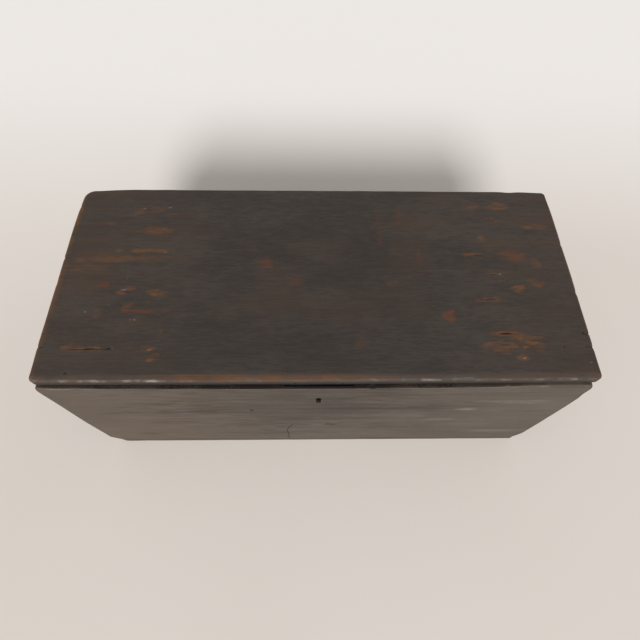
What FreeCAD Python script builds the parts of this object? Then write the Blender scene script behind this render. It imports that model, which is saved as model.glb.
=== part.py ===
import FreeCAD, Part
import os

import Sketcher
from FreeCAD import Placement, Rotation, Vector

# Wooden storage chest with a hinged lid and a half-mortise lock.
# Millimetres. X runs along the chest, -Y is the front, +Z is up, and the origin lies on the
# floor under the middle of the whole.

SIZES = {
    # Lid: one board that is short of the front wall and hangs over the other three
    "lid_length": 780,
    "lid_depth": 341,
    "lid_thickness": 17.5,
    "lid_corner_radius": 10,
    "lid_worn_corner_radius": 20,
    "lid_edge_radius": 7,
    "lid_under_radius": 3,
    "lid_side_overhang": 2.5,
    "lid_back_overhang": 12,
    "lid_front_setback": 5.5,
    "lid_gap": 0.5,
    # Walls and bottom
    "wall_height": 286.5,
    "wall_thickness": 18,
    "wall_edge_radius": 2,
    "wall_worn_corner_width": 16,
    "wall_worn_corner_height": 25,
    "bottom_thickness": 15,
    "bottom_end_inset": 2,
    "bottom_joint_gap": 0.4,
    "bottom_corner_radius": 14,
    "bottom_worn_corner_radius": 24,
    # Nails
    "nail_diameter": 3.2,
    "nail_head_diameter": 6.4,
    "nail_head_height": 1.2,
    "nail_point_height": 6,
    "corner_nail_length": 50,
    "corner_nail_margin": 32,
    "bottom_nail_length": 48,
    "bottom_nail_margin": 40,
    "bottom_end_nail_margin": 100,
    "batten_nail_length": 28,
    "batten_nail_margin": 20,
    # Battens under the lid
    "batten_inset": 105,
    "batten_width": 40,
    "batten_thickness": 14,
    "batten_end_gap": 15,
    "batten_chamfer": 3,
    # Hinges: a strap under the lid, a leaf on the rear wall and a pin through their knuckles
    "hinge_inset": 175,
    "hinge_offset": 2,
    "hinge_plate_thickness": 2,
    "barrel_diameter": 9,
    "barrel_length": 36,
    "barrel_clearance": 0.8,
    "knuckle_gap": 0.3,
    "pin_diameter": 4.6,
    "pin_clearance": 0.05,
    "pin_head_lip": 0.7,
    "pin_head_height": 0.9,
    "strap_length": 150,
    "strap_root_width": 34,
    "strap_tip_width": 22,
    "strap_tip_radius": 10,
    "strap_screw_start": 28,
    "strap_screw_end": 14,
    "leaf_width": 76,
    "leaf_depth": 15,
    "leaf_corner_radius": 3,
    "leaf_screw_margin": 10,
    # Screws
    "hinge_screw_diameter": 3.4,
    "hinge_screw_head": 6.8,
    "hinge_screw_head_height": 1.8,
    "hinge_screw_point": 5,
    "strap_screw_length": 13,
    "leaf_screw_length": 24,
    "small_screw_diameter": 2.6,
    "small_screw_head": 5.2,
    "small_screw_head_height": 1.5,
    "small_screw_point": 3,
    "small_screw_length": 11,
    "screw_slot_width": 0.9,
    "screw_slot_depth": 0.7,
    # Lock: a plate let into the inner face, with works in a mortise behind it
    "lock_width": 96,
    "lock_height": 84,
    "lock_plate_thickness": 2,
    "lock_sinking": 4,
    "lock_screw_margin": 3.6,
    "selvedge_lip": 3,
    "mortise_width": 80,
    "mortise_depth": 10,
    "mortise_foot": 7,
    "keyhole_drop": 49,
    "keyhole_diameter": 9,
    "keyhole_slot_width": 7,
    "keyhole_height": 22,
    "drill_pin_diameter": 4,
    "drill_pin_collar": 7,
    "drill_pin_collar_height": 1.5,
    "drill_pin_tip_gap": 0.6,
    # Bolt: a bar with two stems that end in fingers
    "bolt_thickness": 3,
    "bolt_clearance": 0.3,
    "bolt_bar_rise": 14,
    "bolt_bar_height": 10,
    "bolt_tail": 4.5,
    "bolt_stem_width": 6,
    "bolt_finger_rise": 38,
    "bolt_finger_height": 5,
    "bolt_finger_length": 8,
    "bolt_throw": 9,
    "talon_width": 7,
    "talon_height": 5,
    "stud_spacing": 34,
    "stud_offset": 3,
    "stud_diameter": 4,
    "stud_rivet_diameter": 3,
    "stud_head_diameter": 7,
    "stud_head_height": 1.2,
    "spring_radius": 24,
    "spring_thickness": 1.2,
    "spring_width": 5,
    "spring_offset": 9,
    "spring_post_width": 4.5,
    "spring_post_height": 5,
    # Link plate under the lid, with the two eyes that the fingers enter
    "link_plate_length": 76,
    "link_plate_width": 10,
    "link_plate_thickness": 2,
    "link_screw_margin": 5,
    "link_spacing": 44,
    "link_thickness": 3,
    "link_width": 7,
    "link_foot": 3,
    "link_clearance": 1.2,
    "finger_clearance": 1,
    # How far a cut runs past the face that it opens
    "overrun": 1,
}
CORNER_NAIL_COUNT = 5
BOTTOM_ROW_NAIL_COUNT = 6
BATTEN_NAIL_COUNT = 3
STRAP_SCREW_COUNT = 4
SPRING_ANGLE = 60
FULL_TURN = 360

# Which way a fastener points: its own axis runs from a head at the top down to its point
DOWN = Rotation()
UP = Rotation(Vector(1, 0, 0), 180)
BACKWARD = Rotation(Vector(1, 0, 0), 90)
FORWARD = Rotation(Vector(1, 0, 0), -90)

doc = FreeCAD.newDocument("storage_chest")
sheet = doc.addObject("Spreadsheet::Sheet", "size")
for row, (name, value) in enumerate(SIZES.items(), start=1):
    sheet.set(f"A{row}", name)
    sheet.set(f"B{row}", str(value))
    sheet.setAlias(f"B{row}", name)
doc.recompute()

# Planes that several pieces share, as expressions on the sheet
BODY_HALF = "(size.lid_length / 2 - size.lid_side_overhang)"
FRONT = "(-(size.lid_depth + size.lid_front_setback) / 2)"
BACK = f"(-{FRONT} - size.lid_back_overhang)"
INNER_FRONT = f"({FRONT} + size.wall_thickness)"
INNER_BACK = f"({BACK} - size.wall_thickness)"
INNER_HALF = f"({BODY_HALF} - size.wall_thickness)"
BODY_TOP = "(size.bottom_thickness + size.wall_height)"
LID_UNDER = f"({BODY_TOP} + size.lid_gap)"
LID_TOP = f"({LID_UNDER} + size.lid_thickness)"
LID_MIDDLE = f"({FRONT} + size.lid_front_setback + size.lid_depth / 2)"
HINGE_X = "(size.lid_length / 2 - size.hinge_inset)"
HINGE_Y = f"({BACK} + size.hinge_offset)"
HINGE_Z = f"({BODY_TOP} + size.lid_gap / 2)"
BATTEN_X = "(size.lid_length / 2 - size.batten_inset)"
BARREL_ROOM = "(size.barrel_diameter / 2 + size.barrel_clearance)"
KEY_Z = f"({BODY_TOP} - size.keyhole_drop)"
WORKS_DEPTH = "(size.lock_plate_thickness + size.mortise_depth / 2)"
WORKS_Y = f"({INNER_FRONT} - {WORKS_DEPTH})"
SELVEDGE_REACH = "(size.lock_plate_thickness + size.mortise_depth + size.selvedge_lip)"
BAR_TOP = "(size.bolt_bar_rise + size.bolt_bar_height)"
SPRING_RISE = f"({BAR_TOP} + size.bolt_clearance + size.spring_radius)"

pieces = []


def number(expression):
    """Present value of an expression on the sheet."""
    return float(sheet.evalExpression(expression))


def place(item, x="0", y="0", z="0", turn=DOWN):
    item.Placement = Placement(Vector(), turn)
    for axis, expression in zip("xyz", (x, y, z)):
        item.setExpression(f"Placement.Base.{axis}", expression)
    return item


def keep(item, label):
    """Count an object as a sub-part of the chest under its own name."""
    item.Label = label
    pieces.append(item)
    return item


def new_body(name):
    item = doc.addObject("PartDesign::Body", name)
    item.AllowCompound = True
    return item


def origin_of(body, role):
    return next(item for item in body.Origin.OriginFeatures if item.Role == role)


def new_sketch(body, plane, lift="0"):
    drawing = body.newObject("Sketcher::SketchObject", f"{body.Name}_sketch")
    drawing.AttachmentSupport = [(origin_of(body, plane), "")]
    drawing.MapMode = "FlatFace"
    drawing.setExpression("AttachmentOffset.Base.z", lift)
    return drawing


def tie_point(drawing, line, end, point):
    """Hold one end of a line, or a centre, at a pair of expressions from the sketch's origin."""
    for kind, expression in zip(("DistanceX", "DistanceY"), point):
        rule = Sketcher.Constraint(kind, -1, 1, line, end, number(expression))
        drawing.setExpression(f"Constraints[{drawing.addConstraint(rule)}]", expression)


def draw_outline(drawing, points):
    """Closed outline of straight lines through points given as pairs of expressions."""
    corners = [Vector(number(x), number(y), 0) for x, y in points]
    first = drawing.GeometryCount
    count = len(points)
    for index in range(count):
        drawing.addGeometry(Part.LineSegment(corners[index], corners[(index + 1) % count]), False)
    for index in range(count):
        line = first + index
        following = first + (index + 1) % count
        drawing.addConstraint(Sketcher.Constraint("Coincident", line, 2, following, 1))
        tie_point(drawing, line, 1, points[index])


def draw_box(drawing, low, high):
    draw_outline(drawing, [low, (high[0], low[1]), high, (low[0], high[1])])


def draw_circle(drawing, diameter):
    ring = Part.Circle(Vector(), Vector(0, 0, 1), number(diameter) / 2)
    line = drawing.addGeometry(ring, False)
    tie_point(drawing, line, 3, ("0", "0"))
    rule = drawing.addConstraint(Sketcher.Constraint("Diameter", line, number(diameter)))
    drawing.setExpression(f"Constraints[{rule}]", diameter)


def extrude(body, kind, drawing, length, both_ways=False, reverse=False):
    """Pad or pocket of a sketch, from its plane or evenly about it."""
    feature = body.newObject(f"PartDesign::{kind}", f"{body.Name}_{kind}")
    feature.Profile = drawing
    feature.SideType = "Symmetric" if both_ways else "One side"
    feature.Reversed = reverse
    feature.setExpression("Length", length)
    doc.recompute()
    return feature


def pad(body, drawing, length, **ways):
    return extrude(body, "Pad", drawing, length, **ways)


def pocket(body, drawing, length, **ways):
    """Cut a sketch into the body, and see that it takes material away."""
    before = body.Shape.Volume
    feature = extrude(body, "Pocket", drawing, length, **ways)
    if body.Shape.Volume >= before:
        raise ValueError(f"{feature.Name} cuts nothing")
    return feature


def revolve(body, drawing, axis, angle=FULL_TURN, both_ways=False):
    feature = body.newObject("PartDesign::Revolution", f"{body.Name}_turned")
    feature.Profile = drawing
    feature.ReferenceAxis = (drawing, [axis])
    feature.Angle = angle
    feature.Midplane = both_ways
    doc.recompute()
    return feature


def dress(body, kind, base, wanted, **sizes):
    """Fillet or chamfer along the edges of the last feature that a test picks."""
    edges = enumerate(base.Shape.Edges, start=1)
    names = [f"Edge{index}" for index, edge in edges if wanted(edge)]
    feature = body.newObject(f"PartDesign::{kind}", f"{body.Name}_{kind}")
    feature.Base = (base, names)
    for name, expression in sizes.items():
        feature.setExpression(name, expression)
    doc.recompute()
    return feature


def middle(edge):
    return edge.CenterOfMass


def runs_along(edge, axis):
    """Whether a straight edge lies along one axis, given as a unit vector."""
    ends = edge.Vertexes
    if len(ends) < 2:
        return False
    way = ends[1].Point - ends[0].Point
    return way.cross(axis).Length < way.Length * Part.Precision.confusion()


def is_upright(edge):
    return runs_along(edge, Vector(0, 0, 1))


def lies_flat(edge):
    box = edge.BoundBox
    return box.ZLength < Part.Precision.confusion()


def cut_out(label, base, tools):
    """A piece less the room that other pieces take in it."""
    tool = tools[0]
    if len(tools) > 1:
        tool = doc.addObject("Part::MultiFuse", f"{label}_room")
        tool.Shapes = tools
    item = doc.addObject("Part::Cut", label)
    item.Base = base
    item.Tool = tool
    doc.recompute()
    return keep(item, label)


def fasteners(label, outline, turn, start, across=("0", 1), along=("0", 1), slotted=False):
    """A grid of turned fasteners: outline is (radius, height) pairs, across and along are (span, count)."""
    body = new_body(label)
    drawing = new_sketch(body, "XZ_Plane")
    draw_outline(drawing, outline)
    originals = [revolve(body, drawing, "V_Axis")]
    if slotted:
        drawing = new_sketch(body, "XY_Plane")
        reach = outline[1][0]
        half = "(size.screw_slot_width / 2)"
        draw_box(drawing, (f"-{reach}", f"-{half}"), (reach, half))
        originals.append(pocket(body, drawing, "size.screw_slot_depth"))
    if across[1] * along[1] > 1:
        grid = body.newObject("PartDesign::LinearPattern", f"{label}_grid")
        grid.Originals = originals
        grid.Direction = (origin_of(body, "X_Axis"), [""])
        grid.setExpression("Length", across[0])
        grid.Occurrences = across[1]
        grid.Direction2 = (origin_of(body, "Y_Axis"), [""])
        grid.setExpression("Length2", along[0])
        grid.Occurrences2 = along[1]
        body.Tip = grid
    place(body, *start, turn)
    doc.recompute()
    return body


def nail_outline(length):
    """Half profile of a cut nail with a flat head."""
    shank = "(size.nail_diameter / 2)"
    head = "(size.nail_head_diameter / 2)"
    return [
        ("0", "0"),
        (head, "0"),
        (head, "-size.nail_head_height"),
        (shank, "-size.nail_head_height"),
        (shank, f"size.nail_point_height - {length}"),
        ("0", f"-{length}"),
    ]


def screw_outline(family, length):
    """Half profile of a countersunk screw of one family of sizes."""
    shank = f"(size.{family}_diameter / 2)"
    return [
        ("0", "0"),
        (f"(size.{family}_head / 2)", "0"),
        (shank, f"-size.{family}_head_height"),
        (shank, f"size.{family}_point - {length}"),
        ("0", f"-{length}"),
    ]


def make_board(name, half_length, low_y, high_y, height, z):
    """Upright or flat board, even about the chest's middle, drawn in plan."""
    body = new_body(name)
    drawing = new_sketch(body, "XY_Plane")
    draw_box(drawing, (f"-{half_length}", low_y), (half_length, high_y))
    blank = pad(body, drawing, height)
    place(body, z=z)
    return body, blank


def make_lid_blank():
    """Lid board: corners rounded in plan, the rear left one most, and a rounded edge all round."""
    half = "(size.lid_length / 2)"
    low = f"({LID_MIDDLE} - size.lid_depth / 2)"
    high = f"({LID_MIDDLE} + size.lid_depth / 2)"
    body, blank = make_board("lid_blank", half, low, high, "size.lid_thickness", LID_UNDER)

    def is_worn_corner(edge):
        return is_upright(edge) and middle(edge).x < 0 < middle(edge).y

    def is_other_corner(edge):
        return is_upright(edge) and not is_worn_corner(edge)

    def is_upper(edge):
        return lies_flat(edge) and middle(edge).z > number("size.lid_thickness") / 2

    def is_lower(edge):
        return lies_flat(edge) and middle(edge).z < number("size.lid_thickness") / 2

    corners = dress(body, "Fillet", blank, is_other_corner, Radius="size.lid_corner_radius")
    worn = dress(body, "Fillet", corners, is_worn_corner, Radius="size.lid_worn_corner_radius")
    upper = dress(body, "Fillet", worn, is_upper, Radius="size.lid_edge_radius")
    dress(body, "Fillet", upper, is_lower, Radius="size.lid_under_radius")
    return body


def make_front_blank():
    """Front wall: worn outer corners, and the notch, recess, mortise and keyhole for the lock."""
    body, _ = make_board(
        "front_blank", BODY_HALF, FRONT, INNER_FRONT, "size.wall_height", "size.bottom_thickness"
    )
    front = number(FRONT)
    inside = f"-{INNER_FRONT}"

    def is_outer_upright(edge):
        return is_upright(edge) and middle(edge).y < front + number("size.wall_thickness") / 2

    corner = new_sketch(body, "XZ_Plane", inside)
    corner_x = f"-{BODY_HALF}"
    draw_outline(corner, [
        (corner_x, "0"),
        (f"{corner_x} + size.wall_worn_corner_width", "0"),
        (corner_x, "size.wall_worn_corner_height"),
    ])
    worn = pocket(body, corner, "size.wall_thickness + size.overrun", reverse=True)
    dress(body, "Fillet", worn, is_outer_upright, Radius="size.wall_edge_radius")
    key = "(size.wall_height - size.keyhole_drop)"
    lock_half = "(size.lock_width / 2)"
    notch_floor = "(size.wall_height - size.lock_sinking)"
    lock_foot = f"({notch_floor} + size.lock_plate_thickness - size.lock_height)"
    above = "(size.wall_height + size.overrun)"

    # The notch for the lock's top stops short of the outer face
    notch = new_sketch(body, "XZ_Plane", inside)
    draw_box(notch, (f"-{lock_half}", notch_floor), (lock_half, above))
    pocket(body, notch, SELVEDGE_REACH, reverse=True)

    recess = new_sketch(body, "XZ_Plane", inside)
    draw_box(recess, (f"-{lock_half}", lock_foot), (lock_half, above))
    pocket(body, recess, "size.lock_plate_thickness", reverse=True)

    mortise = new_sketch(body, "XZ_Plane", inside)
    mortise_half = "(size.mortise_width / 2)"
    draw_box(mortise, (f"-{mortise_half}", f"{lock_foot} + size.mortise_foot"), (mortise_half, above))
    pocket(body, mortise, "size.lock_plate_thickness + size.mortise_depth", reverse=True)

    slot = new_sketch(body, "XZ_Plane", inside)
    slot_half = "(size.keyhole_slot_width / 2)"
    slot_foot = f"({key} + size.keyhole_diameter / 2 - size.keyhole_height)"
    draw_box(slot, (f"-{slot_half}", slot_foot), (slot_half, key))
    pocket(body, slot, "size.wall_thickness + size.overrun", reverse=True)

    eye = new_sketch(body, "XZ_Plane", inside)
    eye.setExpression("AttachmentOffset.Base.y", key)
    draw_circle(eye, "size.keyhole_diameter")
    pocket(body, eye, "size.wall_thickness + size.overrun", reverse=True)
    return body


def make_back_blank():
    """Rear wall with its two outer edges worn round."""
    body, blank = make_board(
        "back_blank", BODY_HALF, INNER_BACK, BACK, "size.wall_height", "size.bottom_thickness"
    )
    inner = number(INNER_BACK)

    def is_outer_upright(edge):
        return is_upright(edge) and middle(edge).y > inner + number("size.wall_thickness") / 2

    dress(body, "Fillet", blank, is_outer_upright, Radius="size.wall_edge_radius")
    return body


def make_end_blank(name, low_x):
    """End wall, a plain board between the front and rear walls."""
    item = doc.addObject("Part::Box", name)
    item.setExpression("Length", "size.wall_thickness")
    item.setExpression("Width", f"{INNER_BACK} - {INNER_FRONT}")
    item.setExpression("Height", "size.wall_height")
    return place(item, low_x, INNER_FRONT, "size.bottom_thickness")


def make_plank_blank(name, low_y, high_y, front):
    """One of the two bottom planks: its outer corners are worn round, the front left one most."""
    half = f"({BODY_HALF} - size.bottom_end_inset)"
    body, blank = make_board(name, half, low_y, high_y, "size.bottom_thickness", "0")
    joint = number(high_y if front else low_y)
    span = number(high_y) - number(low_y)

    def is_outer(edge):
        return is_upright(edge) and abs(middle(edge).y - joint) > span / 2

    def is_worn(edge):
        return front and is_outer(edge) and middle(edge).x < 0

    def is_plain(edge):
        return is_outer(edge) and not is_worn(edge)

    rounded = dress(body, "Fillet", blank, is_plain, Radius="size.bottom_corner_radius")
    if front:
        dress(body, "Fillet", rounded, is_worn, Radius="size.bottom_worn_corner_radius")
    return body


def make_batten_blank(name, x):
    """Batten across the underside of the lid, its lower edges eased."""
    body = new_body(name)
    drawing = new_sketch(body, "XY_Plane")
    half = "(size.batten_width / 2)"
    low = f"({INNER_FRONT} + size.batten_end_gap)"
    high = f"({INNER_BACK} - size.batten_end_gap)"
    draw_box(drawing, (f"-{half}", low), (half, high))
    blank = pad(body, drawing, "size.batten_thickness", reverse=True)

    def is_lower(edge):
        return lies_flat(edge) and middle(edge).z < -number("size.batten_thickness") / 2

    dress(body, "Chamfer", blank, is_lower, Size="size.batten_chamfer")
    return place(body, x, "0", LID_UNDER)


def add_barrel(body, length):
    """Round barrel about the hinge's axis, evenly to both sides of its middle."""
    drawing = new_sketch(body, "YZ_Plane")
    draw_circle(drawing, "size.barrel_diameter")
    pad(body, drawing, length, both_ways=True)


def bore_barrel(body):
    drawing = new_sketch(body, "YZ_Plane")
    draw_circle(drawing, "(size.pin_diameter + 2 * size.pin_clearance)")
    pocket(body, drawing, "size.barrel_length + size.overrun", both_ways=True)


def make_strap_blank(name, x):
    """Tapered strap with a round tip and the middle knuckle, drawn from the hinge's axis."""
    body = new_body(name)
    plate = new_sketch(body, "XY_Plane", "size.lid_gap / 2")
    knuckle = "(size.barrel_length / 3 - size.knuckle_gap)"
    tongue = f"({knuckle} / 2)"
    root = "(size.strap_root_width / 2)"
    tip = "(size.strap_tip_width / 2)"
    room = f"-{BARREL_ROOM}"
    right = [(tongue, "0"), (tongue, room), (root, room), (tip, "-size.strap_length")]
    left = [(f"-{across}", y) for across, y in reversed(right)]
    draw_outline(plate, right + left)
    blank = pad(body, plate, "size.hinge_plate_thickness")
    far = number("size.strap_length") / 2

    def is_tip(edge):
        return is_upright(edge) and middle(edge).y < -far

    dress(body, "Fillet", blank, is_tip, Radius="size.strap_tip_radius")
    add_barrel(body, knuckle)
    bore_barrel(body)
    return place(body, x, HINGE_Y, HINGE_Z)


def make_leaf_blank(name, x):
    """Cross leaf that lies in the top edge of the rear wall, with the two outer knuckles."""
    body = new_body(name)
    plate = new_sketch(body, "XY_Plane", "-size.lid_gap / 2")
    gap = "(size.barrel_length / 3 + size.knuckle_gap)"
    half = "(size.leaf_width / 2)"
    rear = "-(size.hinge_offset + size.leaf_depth)"
    room = f"-{BARREL_ROOM}"
    outer = "(size.barrel_length / 2)"
    inner = f"({gap} / 2)"
    right = [(half, rear), (half, room), (outer, room), (outer, "0"), (inner, "0"), (inner, room)]
    left = [(f"-{across}", y) for across, y in reversed(right)]
    draw_outline(plate, right + left)
    blank = pad(body, plate, "size.hinge_plate_thickness", reverse=True)
    far = number(rear)

    def is_far_corner(edge):
        spot = middle(edge)
        return is_upright(edge) and spot.y < far / 2 and abs(spot.x) > number(outer)

    dress(body, "Fillet", blank, is_far_corner, Radius="size.leaf_corner_radius")
    add_barrel(body, "size.barrel_length")
    opening = new_sketch(body, "YZ_Plane")
    draw_circle(opening, "(size.barrel_diameter + size.barrel_clearance)")
    pocket(body, opening, gap, both_ways=True)
    bore_barrel(body)
    return place(body, x, HINGE_Y, HINGE_Z)


def make_hinge_pin(name, x):
    """Pin with a peened head against each end of the barrel."""
    body = new_body(name)
    drawing = new_sketch(body, "XY_Plane")
    radius = "(size.pin_diameter / 2)"
    lip = f"({radius} + size.pin_head_lip)"
    end = "(size.barrel_length / 2)"
    tip = f"({end} + size.pin_head_height)"
    right = [(end, radius), (end, lip), (tip, radius), (tip, "0")]
    left = [(f"-{across}", y) for across, y in reversed(right)]
    draw_outline(drawing, right + left)
    revolve(body, drawing, "H_Axis")
    place(body, x, HINGE_Y, HINGE_Z)
    return keep(body, name)


def make_barrel_room(name, x):
    """Room for a hinge barrel in the top of the rear wall and the underside of the lid."""
    item = doc.addObject("Part::Box", name)
    half = "(size.barrel_length / 2 + size.pin_head_height + size.barrel_clearance)"
    item.setExpression("Length", f"2 * {half}")
    item.setExpression("Width", f"{BARREL_ROOM} + size.lid_back_overhang + size.overrun")
    item.setExpression("Height", f"2 * {BARREL_ROOM}")
    return place(item, f"{x} - {half}", f"{HINGE_Y} - {BARREL_ROOM}", f"{HINGE_Z} - {BARREL_ROOM}")


def make_lock_plate_blank():
    """Face plate and selvedge in one bent piece, with slots for the links and a post for the spring."""
    body = new_body("lock_plate_blank")
    thick = "size.lock_plate_thickness"
    top = f"(size.keyhole_drop - size.lock_sinking + {thick})"
    foot = f"({top} - size.lock_height)"
    lip = f"-{SELVEDGE_REACH}"
    bend = new_sketch(body, "YZ_Plane")
    draw_outline(
        bend,
        [("0", foot), ("0", top), (lip, top), (lip, f"{top} - {thick}"),
         (f"-{thick}", f"{top} - {thick}"), (f"-{thick}", foot)],
    )
    pad(body, bend, "size.lock_width", both_ways=True)

    slots = new_sketch(body, "XY_Plane", top)
    slot_half = "(size.link_thickness / 2 + size.link_clearance)"
    slot_reach = "(size.link_width / 2 + size.link_clearance)"
    for side in ("-", "+"):
        centre = f"({side}size.link_spacing / 2)"
        draw_box(
            slots,
            (f"{centre} - {slot_half}", f"-{WORKS_DEPTH} - {slot_reach}"),
            (f"{centre} + {slot_half}", f"-{WORKS_DEPTH} + {slot_reach}"),
        )
    pocket(body, slots, f"{thick} + size.overrun")

    post = new_sketch(body, "XZ_Plane", thick)
    end_x = f"(-size.spring_offset - size.spring_radius * sin({SPRING_ANGLE / 2}deg))"
    end_z = f"({SPRING_RISE} - size.spring_radius * cos({SPRING_ANGLE / 2}deg))"
    draw_box(
        post,
        (f"{end_x} - size.spring_thickness", f"{end_z} - size.spring_thickness"),
        (f"{end_x} + size.spring_post_width", f"{end_z} + size.spring_post_height"),
    )
    pad(body, post, "size.mortise_depth / 2 + size.spring_width / 2")
    return place(body, "0", INNER_FRONT, KEY_Z)


def make_bolt():
    """Sliding bolt: a bar with a notch for the key, two stud slots and two stems with fingers."""
    body = new_body("lock_bolt")
    drawing = new_sketch(body, "XZ_Plane")
    reach = "(size.link_thickness / 2 + size.finger_clearance)"
    left_tip = f"(-size.link_spacing / 2 - {reach})"
    right_tip = f"(size.link_spacing / 2 - {reach})"
    left_stem = f"({left_tip} - size.bolt_finger_length)"
    right_stem = f"({right_tip} - size.bolt_finger_length)"
    left_end = f"({left_stem} - size.bolt_stem_width)"
    right_inside = f"({right_stem} - size.bolt_stem_width)"
    right_end = f"({right_tip} + size.bolt_tail)"
    bar_foot = "size.bolt_bar_rise"
    talon_top = "(size.bolt_bar_rise + size.talon_height)"
    talon_left = "(-size.bolt_throw / 2 - size.talon_width / 2)"
    talon_right = "(-size.bolt_throw / 2 + size.talon_width / 2)"
    finger = "size.bolt_finger_rise"
    finger_top = "(size.bolt_finger_rise + size.bolt_finger_height)"
    draw_outline(
        drawing,
        [
            (left_end, bar_foot), (talon_left, bar_foot), (talon_left, talon_top),
            (talon_right, talon_top), (talon_right, bar_foot), (right_end, bar_foot),
            (right_end, BAR_TOP), (right_stem, BAR_TOP), (right_stem, finger),
            (right_tip, finger), (right_tip, finger_top), (right_inside, finger_top),
            (right_inside, BAR_TOP), (left_stem, BAR_TOP), (left_stem, finger),
            (left_tip, finger), (left_tip, finger_top), (left_end, finger_top),
        ],
    )
    middle_z = "(size.bolt_bar_rise + size.bolt_bar_height / 2)"
    ease = "(size.stud_diameter / 2 + size.bolt_clearance)"
    for side in ("-", "+"):
        stud = f"({side}size.stud_spacing / 2 - size.stud_offset)"
        draw_box(
            drawing,
            (f"{stud} - size.bolt_throw - {ease}", f"{middle_z} - {ease}"),
            (f"{stud} + {ease}", f"{middle_z} + {ease}"),
        )
    pad(body, drawing, "size.bolt_thickness", both_ways=True)
    place(body, "0", WORKS_Y, KEY_Z)
    return keep(body, "lock_bolt")


def make_studs():
    """Two shouldered studs, riveted through the plate, that the bolt slides on."""
    plate = "size.lock_plate_thickness"
    bolt_near = f"({WORKS_DEPTH} - size.bolt_thickness / 2 - size.bolt_clearance)"
    bolt_far = f"({WORKS_DEPTH} + size.bolt_thickness / 2 + size.bolt_clearance)"
    rivet = "(size.stud_rivet_diameter / 2)"
    neck = "(size.stud_diameter / 2)"
    head = "(size.stud_head_diameter / 2)"
    outline = [
        ("0", "0"), (rivet, "0"), (rivet, f"-{plate}"), (head, f"-{plate}"),
        (head, f"-{bolt_near}"), (neck, f"-{bolt_near}"), (neck, f"-{bolt_far}"),
        (head, f"-{bolt_far}"), (head, f"-{bolt_far} - size.stud_head_height"),
        ("0", f"-{bolt_far} - size.stud_head_height"),
    ]
    start = (
        "-size.stud_spacing / 2 - size.stud_offset",
        INNER_FRONT,
        f"{KEY_Z} + size.bolt_bar_rise + size.bolt_bar_height / 2",
    )
    body = fasteners("bolt_guide_studs", outline, FORWARD, start, across=("size.stud_spacing", 2))
    return keep(body, "bolt_guide_studs")


def make_drill_pin():
    """Fixed pin that a hollow key turns on, riveted through the plate against a collar."""
    plate = "size.lock_plate_thickness"
    shank = "(size.drill_pin_diameter / 2)"
    collar = "(size.drill_pin_collar / 2)"
    collar_end = f"-({plate} + size.drill_pin_collar_height)"
    tip = f"-({plate} + size.mortise_depth - size.drill_pin_tip_gap)"
    outline = [
        ("0", "0"), (shank, "0"), (shank, f"-{plate}"), (collar, f"-{plate}"),
        (collar, collar_end), (shank, collar_end), (shank, tip), ("0", tip),
    ]
    body = fasteners("drill_pin", outline, FORWARD, ("0", INNER_FRONT, KEY_Z))
    return keep(body, "drill_pin")


def make_spring():
    """Bowed leaf spring that bears on the top of the bolt."""
    body = new_body("bolt_spring")
    drawing = new_sketch(body, "YZ_Plane")
    half = "(size.spring_width / 2)"
    inner = "(size.spring_thickness - size.spring_radius)"
    draw_box(drawing, (f"-{half}", "-size.spring_radius"), (half, inner))
    revolve(body, drawing, "H_Axis", SPRING_ANGLE, both_ways=True)
    place(body, "-size.spring_offset", WORKS_Y, f"{KEY_Z} + {SPRING_RISE}")
    return keep(body, "bolt_spring")


def make_link_plate_blank():
    """Plate under the lid with two hanging links, each with an eye for a finger of the bolt."""
    body = new_body("link_plate_blank")
    plate = new_sketch(body, "XY_Plane")
    half = "(size.link_plate_length / 2)"
    reach = "(size.link_plate_width / 2)"
    draw_box(plate, (f"-{half}", f"-{reach}"), (half, reach))
    pad(body, plate, "size.link_plate_thickness", reverse=True)
    finger = "(size.bolt_finger_rise - size.keyhole_drop - size.lid_gap)"
    eye_foot = f"({finger} - size.finger_clearance)"
    eye_top = f"({finger} + size.bolt_finger_height + size.finger_clearance)"
    links = new_sketch(body, "XZ_Plane")
    for side in ("-", "+"):
        centre = f"({side}size.link_spacing / 2)"
        draw_box(
            links,
            (f"{centre} - size.link_thickness / 2", f"{eye_foot} - size.link_foot"),
            (f"{centre} + size.link_thickness / 2", "-size.link_plate_thickness"),
        )
    pad(body, links, "size.link_width", both_ways=True)
    eyes = new_sketch(body, "YZ_Plane")
    eye_half = "(size.bolt_thickness / 2 + size.finger_clearance)"
    draw_box(eyes, (f"-{eye_half}", eye_foot), (eye_half, eye_top))
    pocket(body, eyes, "size.link_plate_length", both_ways=True)
    return place(body, "0", WORKS_Y, LID_UNDER)


# Nails through the corners, the bottom and the battens
corner_x = f"({BODY_HALF} - size.wall_thickness / 2)"
corner_low = "(size.bottom_thickness + size.corner_nail_margin)"
corner_span = "(size.wall_height - 2 * size.corner_nail_margin)"
front_nails = fasteners(
    "front_corner_nails", nail_outline("size.corner_nail_length"), BACKWARD,
    (f"-{corner_x}", FRONT, corner_low),
    (f"2 * {corner_x}", 2), (corner_span, CORNER_NAIL_COUNT),
)
back_nails = fasteners(
    "back_corner_nails", nail_outline("size.corner_nail_length"), FORWARD,
    (f"-{corner_x}", BACK, f"{corner_low} + {corner_span}"),
    (f"2 * {corner_x}", 2), (corner_span, CORNER_NAIL_COUNT),
)
row_x = f"({BODY_HALF} - size.bottom_nail_margin)"
row_back = f"({BACK} - size.wall_thickness / 2)"
row_front = f"({FRONT} + size.wall_thickness / 2)"
bottom_long_rows = fasteners(
    "bottom_long_rows", nail_outline("size.bottom_nail_length"), UP,
    (f"-{row_x}", row_back, "0"),
    (f"2 * {row_x}", BOTTOM_ROW_NAIL_COUNT), (f"{row_back} - {row_front}", 2),
)
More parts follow.
